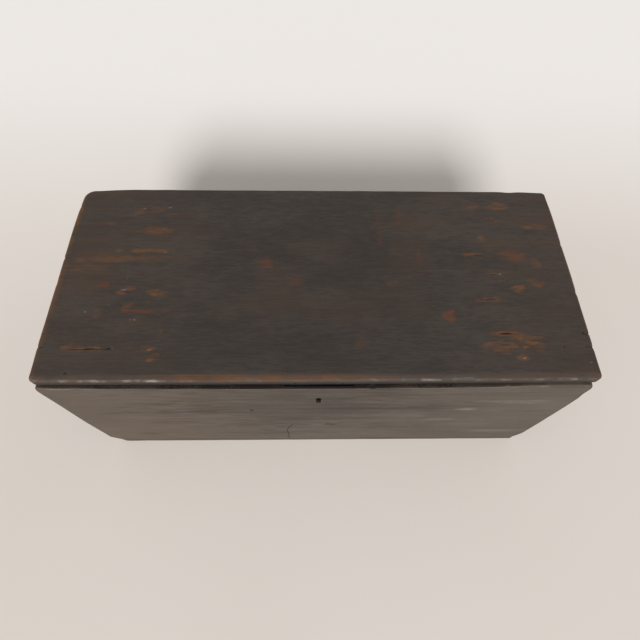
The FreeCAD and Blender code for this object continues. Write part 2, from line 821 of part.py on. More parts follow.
end_back = f"({BACK} - size.bottom_end_nail_margin)"
end_front = f"({FRONT} + size.bottom_end_nail_margin)"
bottom_end_rows = fasteners(
    "bottom_end_rows", nail_outline("size.bottom_nail_length"), UP,
    (f"-{corner_x}", end_back, "0"),
    (f"2 * {corner_x}", 2), (f"{end_back} - {end_front}", 2),
)
bottom_nails = doc.addObject("Part::Compound", "bottom_nails")
bottom_nails.Links = [bottom_long_rows, bottom_end_rows]
batten_low = f"({INNER_FRONT} + size.batten_end_gap + size.batten_nail_margin)"
batten_high = f"({INNER_BACK} - size.batten_end_gap - size.batten_nail_margin)"
batten_nails = fasteners(
    "batten_nails", nail_outline("size.batten_nail_length"), DOWN,
    (f"-{BATTEN_X}", batten_low, LID_TOP),
    (f"2 * {BATTEN_X}", 2), (f"{batten_high} - {batten_low}", BATTEN_NAIL_COUNT),
)
for nails in (front_nails, back_nails, bottom_nails, batten_nails):
    keep(nails, nails.Name)

# Hinges, one towards each end
hinge_x = {"left": f"-{HINGE_X}", "right": HINGE_X}
straps = {side: make_strap_blank(f"{side}_strap_blank", x) for side, x in hinge_x.items()}
leaves = {side: make_leaf_blank(f"{side}_leaf_blank", x) for side, x in hinge_x.items()}
barrel_rooms = [make_barrel_room(f"{side}_barrel_room", x) for side, x in hinge_x.items()]
strap_screws = fasteners(
    "hinge_strap_screws", screw_outline("hinge_screw", "size.strap_screw_length"), UP,
    (hinge_x["left"], f"{HINGE_Y} - size.strap_screw_start", LID_UNDER),
    (f"2 * {HINGE_X}", 2),
    ("size.strap_length - size.strap_screw_start - size.strap_screw_end", STRAP_SCREW_COUNT),
    slotted=True,
)
leaf_screw_span = "(size.leaf_width - 2 * size.leaf_screw_margin)"
leaf_screw_y = f"({BACK} - size.leaf_depth / 2)"
leaf_screw_rows = [
    fasteners(
        f"{side}_leaf_screws", screw_outline("hinge_screw", "size.leaf_screw_length"), DOWN,
        (f"{x} - {leaf_screw_span} / 2", leaf_screw_y, BODY_TOP),
        (leaf_screw_span, 2), slotted=True,
    )
    for side, x in hinge_x.items()
]
leaf_screws = doc.addObject("Part::Compound", "hinge_leaf_screws")
leaf_screws.Links = leaf_screw_rows
for side, x in hinge_x.items():
    cut_out(f"{side}_hinge_strap", straps[side], [strap_screws])
    cut_out(f"{side}_hinge_leaf", leaves[side], [leaf_screws])
    make_hinge_pin(f"{side}_hinge_pin", x)
keep(strap_screws, "hinge_strap_screws")
keep(leaf_screws, "hinge_leaf_screws")

# Lock
lock_plate_blank = make_lock_plate_blank()
studs = make_studs()
drill_pin = make_drill_pin()
spring = make_spring()
make_bolt()
lock_screw_x = "(size.lock_width / 2 - size.lock_screw_margin)"
lock_screw_top = f"({BODY_TOP} - size.lock_sinking - size.lock_screw_margin)"
lock_screw_span = "(size.lock_height - size.lock_plate_thickness - 2 * size.lock_screw_margin)"
lock_screws = fasteners(
    "lock_screws", screw_outline("small_screw", "size.small_screw_length"), FORWARD,
    (f"-{lock_screw_x}", INNER_FRONT, lock_screw_top),
    (f"2 * {lock_screw_x}", 2), (lock_screw_span, 2), slotted=True,
)
keep(lock_screws, "lock_screws")
cut_out("lock_plate", lock_plate_blank, [studs, drill_pin, spring, lock_screws])
link_screw_x = "(size.link_plate_length / 2 - size.link_screw_margin)"
link_screws = fasteners(
    "link_plate_screws", screw_outline("small_screw", "size.small_screw_length"), UP,
    (f"-{link_screw_x}", WORKS_Y, f"{LID_UNDER} - size.link_plate_thickness"),
    (f"2 * {link_screw_x}", 2), slotted=True,
)
keep(link_screws, "link_plate_screws")
cut_out("link_plate", make_link_plate_blank(), [link_screws])

# Boards, each with the room that its fastenings and ironwork take
lid_room = [*straps.values(), *barrel_rooms, strap_screws, batten_nails, link_screws]
cut_out("lid_board", make_lid_blank(), lid_room)
for side, sign in (("left", "-"), ("right", "+")):
    batten = make_batten_blank(f"{side}_batten_blank", f"{sign}{BATTEN_X}")
    cut_out(f"{side}_lid_batten", batten, [batten_nails])
cut_out("front_board", make_front_blank(), [front_nails, bottom_nails, lock_screws])
back_room = [*leaves.values(), *barrel_rooms, leaf_screws, back_nails, bottom_nails]
cut_out("back_board", make_back_blank(), back_room)
for side, low_x in (("left", f"-{BODY_HALF}"), ("right", INNER_HALF)):
    end = make_end_blank(f"{side}_end_blank", low_x)
    cut_out(f"{side}_end_board", end, [front_nails, back_nails, bottom_nails])
plank_joint = f"(({FRONT} + {BACK}) / 2)"
front_plank = make_plank_blank(
    "front_plank_blank", FRONT, f"({plank_joint} - size.bottom_joint_gap / 2)", True
)
rear_plank = make_plank_blank(
    "rear_plank_blank", f"({plank_joint} + size.bottom_joint_gap / 2)", BACK, False
)
cut_out("bottom_front_plank", front_plank, [bottom_nails])
cut_out("bottom_rear_plank", rear_plank, [bottom_nails])

doc.recompute()
failed = [item.Label for item in doc.Objects if {"Invalid", "Error"} & set(item.State)]
failed += [item.Label for item in pieces if item.Shape.isNull() or not item.Shape.isValid()]
if failed:
    raise ValueError(f"pieces that did not build: {failed}")
os.makedirs("parts", exist_ok=True)
for item in pieces:
    item.Shape.exportStep(f"parts/{item.Label}.step")
    print(item.Label, len(item.Shape.Solids), round(item.Shape.Volume))
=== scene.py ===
import itertools
import math

import bmesh
import bpy
import numpy as np
from mathutils import Matrix, Vector


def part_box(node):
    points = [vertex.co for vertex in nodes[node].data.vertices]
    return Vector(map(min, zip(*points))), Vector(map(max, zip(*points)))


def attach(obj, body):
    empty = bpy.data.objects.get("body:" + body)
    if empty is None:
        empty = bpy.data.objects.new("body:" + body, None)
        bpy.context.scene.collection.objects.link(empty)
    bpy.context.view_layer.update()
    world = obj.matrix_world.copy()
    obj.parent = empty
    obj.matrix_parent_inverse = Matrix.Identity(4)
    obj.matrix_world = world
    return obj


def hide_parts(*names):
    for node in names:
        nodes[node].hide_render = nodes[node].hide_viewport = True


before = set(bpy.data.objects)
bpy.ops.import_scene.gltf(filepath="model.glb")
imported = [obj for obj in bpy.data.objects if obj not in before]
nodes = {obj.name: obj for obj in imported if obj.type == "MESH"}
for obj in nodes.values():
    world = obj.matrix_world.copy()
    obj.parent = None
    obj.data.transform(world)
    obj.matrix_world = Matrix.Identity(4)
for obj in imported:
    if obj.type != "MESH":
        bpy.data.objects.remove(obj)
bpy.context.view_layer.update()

# Metres throughout. X runs along the chest, -Y is the front and +Z is up.

# The photograph's camera
IMAGE_WIDTH = 640
FOCAL_PIXELS = 459.07
PIXEL_MIDDLE = 0.5
SENSOR_WIDTH = 36
CAMERA_PLACE = Vector((-0.01192, -0.38373, 0.90349))
CAMERA_PITCH = math.radians(62.309)
CAMERA_YAW = math.radians(-2.706)
CAMERA_ROLL = math.radians(2.334)
NEAR_CLIP = 0.01

# Light: a broad soft sun before the chest, and an even sky
SUN_HEIGHT = math.radians(34)
SUN_SIDE = math.radians(-5)
SUN_WIDTH = math.radians(18)
SUN_STRENGTH = 2.95
SKY_STRENGTH = 0.44
SKY_COLOUR = (1.0, 0.985, 0.965, 1)
FLOOR_HALF = 5.0
FLOOR_DARK = (0.715, 0.655, 0.600, 1)
FLOOR_LIGHT = (0.745, 0.690, 0.635, 1)
# Painted light: the floor grows paler towards the back
FLOOR_FAR_PAINTED_LIGHT = (0.88, 0.845, 0.82, 1)
FLOOR_PAINTED_LIGHT_FROM = (0.15, 1.0)
FLOOR_CLOUDS = 1.2
FLOOR_ROUGHNESS = 0.9

# How closely the worn boards are ruled, most closely in a band along their edges
EDGE_BAND = 0.009
FINE_STEP = 0.0009
LEAST_STEP = 0.0003
LID_STEP = 0.0022
WALL_STEP = 0.0035
PLANK_STEP = 0.006
THICKNESS_STEP = 0.0016
TINY = 1e-9
WELD = 1e-6
FLAT_NORMAL = 1 - 1e-7
SHARP_ANGLE = math.radians(32)
NAIL_SHARP_ANGLE = math.radians(40)
NOISE_CELLS = 256
# Where a spot's soft edge starts and ends, as shares of its half lengths
SPOT_EDGE = (1.35, 0.35)

# Lid: corner radii in plan, edge radii and how they vary, and how far it is out of true
LID_CORNERS = {(-1, -1): 0.007, (1, -1): 0.007, (1, 1): 0.010, (-1, 1): 0.021}
LID_TOP_RADIUS = 0.0050
LID_TOP_SPREAD = 0.15
LID_UNDER_RADIUS = 0.0028
LID_UNDER_SPREAD = 0.0005
LID_NOSING_RADIUS = 0.0026
LID_NOSING_REACH = 0.0095
LID_NOSING_DROP = 0.0034
LID_NOSING_CURVE = 1.5
LID_NOSING_SPREAD = 0.25
LID_FRONT_BULGE = 0.0007
LID_BACK_TAPER = 0.0014
LID_FRONT_TAPER = 0.0003
LID_HOLLOW = 0.0003
LID_WANDER = 0.0003
LID_RIM = 0.02
LID_LUMPS = 0.00012
LID_GRAIN_RELIEF = 0.00005
LID_TOP_BLEND = 0.002
# The lid's front edge is least worn by the two screws of the link plate, which lie just behind it
LINK_SCREW_X = 0.033
LINK_SCREW_ROOM = 0.012

# Splits along the lid's grain: middle x and y, half length, depth
SLIT_HALF_WIDTH = 0.0008
SLIT_WAVER = 0.0007
SLIT_WAVER_SIZE = 0.013
SLIT_SEED = 41
# The splits are painted dark, as dirt and as painted shade in them
SLIT_DIRT_AND_SHADE = 0.6
SLIT_DIRT_AND_SHADE_DEPTH = (0.00005, 0.0005)
# A split whose middle is within this room of the lid's end also notches the end
SLIT_END_ROOM = 0.01
SLIT_END_BAND = 0.004
SLIT_END_SHARE = 0.35
LID_SLITS = (
    (-0.316, -0.1215, 0.032, 0.0016),
    (-0.388, -0.1180, 0.008, 0.0015),
    (-0.262, 0.0960, 0.006, 0.0006),
    (0.283, 0.1090, 0.008, 0.0010),
    (0.246, 0.0370, 0.013, 0.0012),
    (0.267, 0.0020, 0.006, 0.0008),
    (0.251, -0.0430, 0.014, 0.0012),
    (0.271, -0.0990, 0.015, 0.0016),
    (0.262, -0.1170, 0.008, 0.0008),
    (0.388, -0.0990, 0.010, 0.0018),
    (0.388, -0.1200, 0.012, 0.0022),
    (-0.388, 0.0320, 0.008, 0.0020),
)

# Nicks in the lid's edge: x, y, reach, depth
LID_NICKS = (
    (-0.390, 0.134, 0.004, 0.0008),
    (-0.390, 0.031, 0.003, 0.0007),
    (-0.390, -0.012, 0.005, 0.0005),
    (-0.390, -0.118, 0.003, 0.0006),
    (-0.378, 0.173, 0.040, 0.0042),
    (0.326, 0.172, 0.012, 0.0014),
    (0.385, 0.173, 0.040, 0.0020),
    (0.390, 0.060, 0.004, 0.0008),
    (0.390, -0.030, 0.004, 0.0010),
    (0.390, -0.099, 0.003, 0.0006),
    (0.390, -0.120, 0.004, 0.0008),
)

# Stains and worn places on the lid: x, y, half length, half width, brown, orange, red
LID_STAINS = (
    (-0.285, 0.123, 0.015, 0.008, 0.5, 0.30, 0.0),
    (-0.261, 0.125, 0.013, 0.007, 0.4, 0.50, 0.0),
    (-0.215, 0.117, 0.045, 0.006, 0.4, 0.10, 0.0),
    (-0.259, 0.084, 0.024, 0.008, 0.5, 0.25, 0.2),
    (-0.335, 0.100, 0.020, 0.006, 0.2, 0.15, 0.0),
    (-0.262, 0.046, 0.045, 0.004, 0.6, 0.25, 0.0),
    (-0.300, 0.030, 0.085, 0.006, 0.6, 0.05, 0.1),
    (-0.360, 0.012, 0.030, 0.007, 0.5, 0.00, 0.0),
    (-0.316, -0.017, 0.010, 0.006, 0.1, 0.15, 0.6),
    (-0.291, -0.031, 0.007, 0.005, 0.2, 0.90, 0.2),
    (-0.279, -0.024, 0.012, 0.003, 0.5, 0.50, 0.0),
    (-0.237, -0.033, 0.015, 0.006, 0.5, 0.40, 0.0),
    (-0.247, -0.061, 0.038, 0.0035, 0.1, 0.35, 0.75),
    (-0.279, -0.055, 0.010, 0.008, 0.1, 0.40, 0.2),
    (-0.318, -0.066, 0.006, 0.007, 0.3, 0.30, 0.0),
    (-0.268, -0.082, 0.018, 0.006, 0.5, 0.20, 0.0),
    (-0.330, -0.120, 0.032, 0.006, 0.5, 0.45, 0.1),
    (-0.238, -0.121, 0.018, 0.006, 0.6, 0.30, 0.0),
    (-0.230, -0.135, 0.016, 0.006, 0.5, 0.45, 0.1),
    (-0.223, -0.098, 0.004, 0.012, 0.1, 0.25, 0.1),
    (0.255, 0.135, 0.013, 0.008, 0.5, 0.30, 0.0),
    (0.298, 0.136, 0.020, 0.009, 0.5, 0.45, 0.1),
    (0.285, 0.108, 0.015, 0.007, 0.4, 0.25, 0.0),
    (0.260, 0.072, 0.007, 0.011, 0.5, 0.45, 0.0),
    (0.352, 0.093, 0.030, 0.005, 0.4, 0.40, 0.0),
    (0.246, 0.039, 0.020, 0.006, 0.3, 0.45, 0.1),
    (0.306, 0.038, 0.018, 0.016, 0.4, 0.20, 0.4),
    (0.272, 0.001, 0.016, 0.009, 0.4, 0.10, 0.0),
    (0.340, 0.020, 0.010, 0.008, 0.2, 0.35, 0.0),
    (0.330, -0.012, 0.012, 0.010, 0.2, 0.30, 0.1),
    (0.303, -0.024, 0.010, 0.006, 0.3, 0.75, 0.0),
    (0.251, -0.042, 0.020, 0.005, 0.2, 0.50, 0.2),
    (0.190, -0.073, 0.009, 0.008, 0.0, 0.90, 0.9),
    (0.268, -0.098, 0.022, 0.005, 0.3, 0.40, 0.1),
    (0.294, -0.109, 0.022, 0.006, 0.5, 0.60, 0.1),
    (0.312, -0.118, 0.009, 0.006, 0.4, 0.40, 0.0),
    (0.258, -0.119, 0.026, 0.010, 0.6, 0.40, 0.1),
    (0.285, -0.134, 0.007, 0.009, 0.3, 0.55, 0.0),
    (0.098, 0.090, 0.005, 0.040, 0.0, 0.10, 0.30),
    (0.131, 0.118, 0.006, 0.020, 0.0, 0.15, 0.30),
    (0.158, 0.030, 0.006, 0.040, 0.0, 0.10, 0.35),
    (0.110, -0.015, 0.016, 0.008, 0.1, 0.20, 0.1),
    (0.060, -0.110, 0.012, 0.010, 0.1, 0.20, 0.1),
    (-0.080, 0.020, 0.014, 0.012, 0.1, 0.30, 0.2),
    (-0.040, -0.010, 0.016, 0.006, 0.1, 0.15, 0.35),
)

# Pale flecks, and dark pits painted as dirt and shade, in the lid: x, y, half length, half width
LID_FLECKS = (
    (-0.282, 0.129, 0.0022, 0.0012),
    (-0.241, 0.131, 0.0040, 0.0014),
    (-0.287, -0.025, 0.0075, 0.0011),
    (-0.336, -0.063, 0.0016, 0.0015),
    (-0.270, -0.076, 0.0013, 0.0013),
    (-0.263, -0.076, 0.0030, 0.0012),
    (-0.304, -0.053, 0.0016, 0.0012),
    (-0.235, -0.123, 0.0016, 0.0015),
    (-0.236, 0.042, 0.0020, 0.0016),
    (0.278, 0.002, 0.0016, 0.0018),
    (0.378, -0.144, 0.0018, 0.0014),
    (0.286, -0.137, 0.0022, 0.0018),
)
LID_PITS = (
    (0.346, -0.120, 0.0018, 0.0013),
    (0.379, -0.098, 0.0022, 0.0013),
    (-0.341, -0.157, 0.0024, 0.0012),
    (-0.318, -0.1215, 0.0060, 0.0012),
    (-0.290, -0.1210, 0.0045, 0.0010),
    (0.268, -0.0990, 0.0080, 0.0013),
)

# Rubbed places along the lid's front arris, where it is painted pale as rubbed wood and as painted highlight:
# x, half length, strength
NOSING_RUBS_AND_HIGHLIGHTS = (
    (-0.341, 0.008, 0.50),
    (-0.296, 0.014, 1.00),
    (-0.262, 0.010, 0.60),
    (-0.244, 0.005, 0.70),
    (-0.225, 0.010, 1.00),
    (-0.171, 0.005, 0.50),
    (-0.087, 0.012, 0.70),
    (-0.015, 0.008, 0.40),
    (0.012, 0.014, 0.55),
    (0.065, 0.014, 0.55),
    (0.127, 0.006, 0.50),
    (0.150, 0.014, 0.60),
    (0.200, 0.011, 0.60),
    (0.245, 0.010, 0.80),
    (0.300, 0.011, 0.45),
    (0.350, 0.006, 0.50),
    (0.375, 0.008, 0.40),
)

# Noises of the lid: length of the waves, seed, octaves
LID_WEAR_WAVES = (0.05, 11, 2)
LID_OUTLINE_WAVES = (0.11, 17, 2)
LID_LUMP_WAVES = (0.008, 23, 2)
LID_HOLLOW_WAVES = ((0.30, 0.10), 31, 2)
LID_GRAIN_WAVES = ((0.09, 0.006), 37)
LID_STAIN_WAVES = ((0.014, 0.005), 53, 3)
LID_COVER_WAVES = ((0.011, 0.003), 57, 2)
LID_STREAK_WAVES = ((0.14, 0.007), 61, 2)
LID_RUB_WAVES = ((0.030, 0.030), 67, 3)
LID_BLOTCH_WAVES = ((0.07, 0.05), 71, 3)
LID_BREAK_WAVES = ((0.016, 0.004), 73, 3)
LID_GRIT_WAVES = ((0.005, 0.003), 79, 2)

# Where the lid's masks start and end: heights over its underside, drops under its top, insets from its
# outline, reaches from its front edge, and places along it
LID_PAINT_HEIGHT = (0.001, 0.004)
LID_RIM_PAINT_INSET = (0.0065, 0.0035)
LID_RIM_PAINT_HEIGHT = (0, 0.0008)
LID_EDGE_INSET = (0.006, 0.001)
LID_EDGE_DROP = (0.009, 0.004)
LID_LEFT_INSET = (0.013, 0.003)
NOSING_SLOPE_REACH = (0.011, 0.005)
NOSING_SLOPE_DROP = (0.0048, 0.0030)
NOSING_POLISH_REACH = (0.005, 0.002)
NOSING_ARRIS_DROP = 0.0037
NOSING_ARRIS_BAND = (0.0023, 0.0008)
NOSING_FOOT_DROP = (0.0065, 0.0105)
HANDLED_FROM = (-0.27, -0.15)
HANDLED_TO = (0.14, 0.04)
RIGHTWARD_FROM = (0.05, 0.20)
LID_GRIME_X = -0.01
LID_GRIME_Y = 0.10
LID_GRIME_REACH = (0.27, 0.12)
LID_GRIME_INSET = (0.004, 0.02)
# How far an edge has to face the front or the left to count as one there
FRONTWARD = (-0.5, -0.9)
LEFTWARD = (0.3, 0.9)

# How strong the lid's masks are: a number by itself, then a weight for each term
STAIN_RAGGED = 0.55
STAIN_COVER = (0.70, 0.60)
STAIN_COVER_RANGE = (0.25, 1.15)
LID_BLOTCH = 0.20
EDGE_BROWN = (0.85, 0.5)
EDGE_ORANGE = (0.15, 0.4)
LEFT_BROWN = (0.55, 0.4)
LEFT_ORANGE = (0.10, 0.3)
NOSING_ORANGE = (0.10, 0.30)
NOSING_ORANGE_SPREAD = (1, 0.7)
NOSING_BROWN = (0.12, 0.48, 0.2)
# The arris's pale is rubbed wood and painted highlight
NOSING_PALE_AND_HIGHLIGHT = (0.14, 0.42, 0.22, 0.18)
NOSING_PALE_AND_HIGHLIGHT_KEPT = (1, -0.6, -0.35)
NOSING_POLISH = (0.25, 1, 0.4)
NOSING_POLISH_KEPT = (1, -0.85, -0.3)
NOSING_SOIL = (0.14, 0.15)
# Painted shade on the lid's front face under the arris
NOSING_FOOT_PAINTED_SHADE = 0.40
FLECK_PALE = 0.6
PIT_DIRT_AND_SHADE = 0.9
LID_GRIME = (0.13, -0.2)
# How far in from its left and right end the lid is rubbed brown, and how strongly
LID_END_RUBS = {-1: (0.26, (0.15, 0.14)), 1: (0.20, (0.14, 0.12))}

# Walls, bottom and battens: edge radii and what wear adds to them, and how far faces are out of true
WALL_DEPTH = 0.018
WALL_RADIUS = 0.0010
WALL_TOP_RADIUS = 0.0017
FRONT_SPREAD = 0.0004
BACK_SPREAD = 0.0006
END_RADIUS_SHARE = 0.7
END_SPREAD = 0.0005
LEFT_TOP_WEAR = 0.0020
RIGHT_TOP_WEAR = 0.0030
LEFT_WORN_FROM = (-0.25, -0.36)
RIGHT_WORN_FROM = (0.12, 0.36)
TOP_BAND = 0.01
TOP_DROP = 0.0004
WALL_HOLLOW = 0.0003
PLANK_RADIUS = 0.0022
PLANK_SPREAD = 0.0008
PLANK_CORNER = 0.012
PLANK_WORN_CORNER = 0.004
PLANK_WORN_TOP = 0.0125
PLANK_WORN_FOOT = 0.0185
PLANK_FACE = 0.002
PLANK_FACE_RISE = 1.5
BATTEN_TOP_RADIUS = 0.0005
BATTEN_UNDER_RADIUS = 0.0031
BATTEN_SPREAD = 0.0004
BATTEN_TOP_BAND = 0.003
BATTEN_HOLLOW = 0.0003
FLUSH = 0.00012

# Cutting a worn board to its node: how far the board stands past the faces that cut it, and how far the
# node's other faces, those within a margin of its box, are pushed out of the way
OVERSHOOT = 0.0006
OVERSHOOT_BAND = (0.003, 0.008)
PUSH = 0.006
ROUND_MARGIN = 0.0045
FLAT_MARGIN = 0.0022
LID_TOP_MARGIN = 0.0005
WALL_TOP_MARGIN = 0.0002
NO_MARGIN = -1

# Noises of the other pieces: lengths of the waves, each piece's seed, and what a use adds to that seed
WEAR_SIZE = 0.04
SAG_SIZE = (0.25, 0.09)
RUB_SIZE = 0.05
TOP_SIZE = 0.03
BAND_SIZE = (0.03, 0.006)
CHIP_SIZE = 0.004
GROOVE_SIZE = 0.012
PLANK_WEAR_SIZE = 0.03
PLANK_FACE_SIZE = 0.08
BATTEN_WEAR_SIZE = 0.025
BATTEN_HOLLOW_SIZE = (0.02, 0.06)
SEEDS = {
    "front_board": 101, "back_board": 131, "left_end_board": 161, "right_end_board": 191,
    "bottom_front_plank": 211, "bottom_rear_plank": 231, "left_lid_batten": 251, "right_lid_batten": 271,
    "front_corner_nails": 301, "back_corner_nails": 311, "bottom_nails": 321, "batten_nails": 331,
}
FACE_SEED = 3
SAG_SEED = 5
TOP_SEED = 9
RUB_SEED = 13
BAND_SEED = 17
BREAK_SEED = 23
CHIP_SEED = 29
GROOVE_SEED = 40

# The front's worn lower corners, left and right: width and height of what is gone, and how soft it is
WORN_CORNERS = {-1: (0.0150, 0.018), 1: (0.0080, 0.026)}
WORN_CORNER_SOFT = 0.003
WORN_CORNER_REACH = 0.06
WORN_CORNER_DEPTH = 0.045
# How far the front's two ends lie outside a straight line, by height
END_BOWS = {
    -1: ((0.060, 0.0), (0.130, 0.0016), (0.180, 0.0011), (0.290, 0.0)),
    1: ((0.015, 0.0020), (0.120, 0.0023), (0.210, 0.0015), (0.251, 0.0), (0.270, -0.0028),
        (0.288, -0.0032), (0.301, -0.0038)),
}

# Cracks, nail holes and dents in the front: path of x and z, half width, depth
GROOVE_WAVER = 0.8
GROOVE_BAND = (0.004, 0.001)
# The grooves are painted dark, as dirt and as painted shade in them
GROOVE_DIRT_AND_SHADE = 0.7
GROOVE_DIRT_AND_SHADE_DEPTH = (0.0002, 0.0008)
FRONT_GROOVES = (
    (((-0.043, 0.113), (-0.049, 0.096), (-0.055, 0.074), (-0.052, 0.045), (-0.053, 0.017)), 0.0011, 0.0011),
    (((-0.072, 0.102), (-0.060, 0.099), (-0.049, 0.096)), 0.0010, 0.0008),
    (((-0.104, 0.198), (-0.103, 0.198)), 0.0022, 0.0030),
    (((-0.312, 0.060), (-0.300, 0.058)), 0.0016, 0.0010),
    (((-0.303, 0.053), (-0.294, 0.0515)), 0.0016, 0.0012),
    (((-0.098, 0.052), (-0.083, 0.050)), 0.0014, 0.0008),
    (((0.016, 0.114), (0.030, 0.111)), 0.0018, 0.0012),
    (((0.008, 0.108), (0.019, 0.106)), 0.0012, 0.0008),
    (((0.222, 0.234), (0.236, 0.234)), 0.0012, 0.0006),
    (((-0.222, 0.236), (-0.214, 0.235)), 0.0010, 0.0006),
)
# Chips in the front's upper edge: x, half length, depth
CHIP_FOOT = 0.296
CHIP_BAND = (0.006, 0.002)
CHIP_REACH = (1.0, 0.5)
CHIP_RAGGED = 0.3
# The deeper chips are painted dark, as dirt and as painted shade
CHIP_DIRT_AND_SHADE = 0.6
CHIP_DIRT_AND_SHADE_DEPTH = (0.0008, 0.0018)
FRONT_CHIPS = (
    (0.074, 0.007, 0.0022),
    (-0.168, 0.006, 0.0004),
    (0.262, 0.005, 0.0004),
)
# Darker bands along the front's grain, and paler scuffs: x, z, half length, half width, strength
BAND_RAGGED = 0.35
BAND_SOIL = 0.5
FRONT_BANDS = (
    (0.060, 0.150, 0.180, 0.006, 0.30),
    (-0.230, 0.128, 0.100, 0.007, 0.22),
    (0.330, 0.188, 0.050, 0.006, 0.28),
    (-0.190, 0.190, 0.120, 0.008, 0.16),
    (0.230, 0.090, 0.120, 0.007, 0.20),
    (-0.040, 0.060, 0.130, 0.008, 0.18),
    (0.100, 0.030, 0.200, 0.006, 0.20),
    (-0.310, 0.055, 0.030, 0.008, 0.22),
    (0.020, 0.111, 0.024, 0.008, 0.25),
    (-0.030, 0.220, 0.220, 0.140, 0.52),
    (-0.300, 0.160, 0.130, 0.200, 0.18),
    (0.090, 0.205, 0.150, 0.007, 0.30),
    (0.240, 0.215, 0.080, 0.005, 0.22),
    (0.200, 0.062, 0.110, 0.006, 0.26),
    (0.050, 0.255, 0.070, 0.010, 0.22),
)
FRONT_SCUFFS = (
    (0.234, 0.197, 0.017, 0.008, 0.32),
    (0.205, 0.140, 0.040, 0.010, 0.20),
    (-0.120, 0.150, 0.040, 0.006, 0.18),
    (-0.300, 0.160, 0.090, 0.010, 0.14),
    (0.320, 0.060, 0.060, 0.014, 0.14),
    (0.290, 0.150, 0.130, 0.200, 0.12),
    (0.110, 0.130, 0.060, 0.008, 0.17),
    (0.300, 0.235, 0.060, 0.010, 0.15),
)

# The keyhole's middle height, and the half height and half width of the place in it that is painted with
# shade
KEYHOLE_Z = 0.246
KEYHOLE_HALF_HEIGHT = 0.016
KEYHOLE_HALF_WIDTH = 0.008
KEYHOLE_EDGE = (1.15, 0.85)
KEYHOLE_PAINTED_SHADE = 0.9
KEYHOLE_SHADE_DEPTH = (0.0010, 0.0030)

# The front's upper edge: an arris rubbed pale and painted with highlights in places, and a ledge behind it
# painted dark with dirt and shade, most of all by the lock
LOCK_WEAR_X = -0.03
LOCK_WEAR_REACH = (0.15, 0.06)
LEFT_WEAR_SHARE = 0.6
ARRIS_EDGE = (0.0021, -0.0016, 0.0018, 0.0005)
ARRIS_DROP = 0.0006
ARRIS_BAND = (0.0011, 0.0003)
# Painted highlight along the front's arris, with its rubbed wood
ARRIS_RUB_AND_HIGHLIGHT = (0.14, 0.40, 0.2, 0.14)
ARRIS_RUB_AND_HIGHLIGHT_X = 0.07
ARRIS_RUB_AND_HIGHLIGHT_REACH = (0.12, 0.05)
LEDGE_FADE = 0.0009
LEDGE_BROWN = 0.5
# Painted shade with dirt on the ledge under the lid's overhang
LEDGE_DIRT_AND_SHADE = (0.66, 0.12)

# Paint and dirt on the walls, the bottom and the battens: where they start and end, and how strong they are
LEFT_FRONT_BROWN = 0.26
LEFT_FRONT_FROM = (-0.05, -0.25)
WALL_FOOT = (0.02, 0.002)
WALL_BROWN = (0, 0.10, 0.30)
PAINT_DEPTH = (0.004, 0.007)
END_PAINT_DEPTH = (0, 0.001)
END_PAINT_REACH = (0.001, 0.003)
END_WALL_PAINT = (0.2, 0.6)
PLANK_PAINT = (0.006, 0.003)
PLANK_UNDER = 0.004
PLANK_SOIL = (0, 0.25, 0.15)
BATTEN_SOIL = 0.25

# Nails: rings from crown to point as share of the head's radius, and depth from the head's face
NAIL_SIDES = 14
NAIL_POINT = 0.006
NAIL_HEAD_RINGS = ((0.40, -0.00022), (0.82, -0.00008), (1.00, 0.00022))
NAIL_NECK_RINGS = ((0.96, 0.00100), (0.50, 0.00120))
NAIL_SHANK_SHARE = 0.46
NAIL_TIP_SHARE = 0.12
NAIL_RIM = 0.001
NAIL_LEAN = 0.00012
NAIL_ROUGHNESS = 0.10
NAIL_SHORTER = 0.002
# How far the heads are driven in, how much that varies, and how rough the heads are that lie flush
NAIL_SINK = 0.00025
NAIL_SINK_RANGE = (0.6, 1.2)
BOTTOM_NAIL_SINK = 0.00004
BOTTOM_NAIL_CROWN = 0.2
LID_NAIL_CROWN = 0.3


# Noise and small mathematics

def smooth(value, start, end):
    """0 at start, 1 at end and an even swing between."""
    share = np.clip((value - start) / (end - start), 0, 1)
    return share * share * (3 - 2 * share)


def noise(points, size, seed, octaves=1):
    """Smooth seeded noise about 0, whose waves are about as long as size, one length for each axis."""
    points = np.asarray(points, float).reshape(len(points), -1)
    total = np.zeros(len(points))
    weight = 1.0
    for octave in range(octaves):
        draw = np.random.default_rng(seed + octave)
        order = draw.permutation(NOISE_CELLS)
        heights = draw.uniform(-1, 1, NOISE_CELLS)
        place = points / np.asarray(size, float) * 2 ** octave
        cell = np.floor(place).astype(int)
        part = place - cell
        part = part * part * (3 - 2 * part)
        for corner in itertools.product((0, 1), repeat=points.shape[1]):
            share = np.prod(np.where(corner, part, 1 - part), axis=1)
            index = np.zeros(len(points), int)
            for axis, step in enumerate(corner):
                index = order[(index + cell[:, axis] + step) % NOISE_CELLS]
            total += weight * share * heights[index]
        weight /= 2
    return total


def blend(weights, *terms):
    """The first weight, and the sum of the terms, each times its own weight."""
    return weights[0] + sum(weight * term for weight, term in zip(weights[1:], terms))


def level(weights, *terms):
    """A blend that is kept between 0 and 1."""
    return np.clip(blend(weights, *terms), 0, 1)


def spots_mask(u, v, spots, ragged=0.0):
    """Sum of soft ragged oval spots, each given as its middle, two half lengths and a strength."""
    total = np.zeros(len(u))
    for spot_u, spot_v, half_u, half_v, strength in spots:
        reach = np.hypot((u - spot_u) / half_u, (v - spot_v) / half_v) + ragged
        total += strength * smooth(reach, *SPOT_EDGE)
    return total


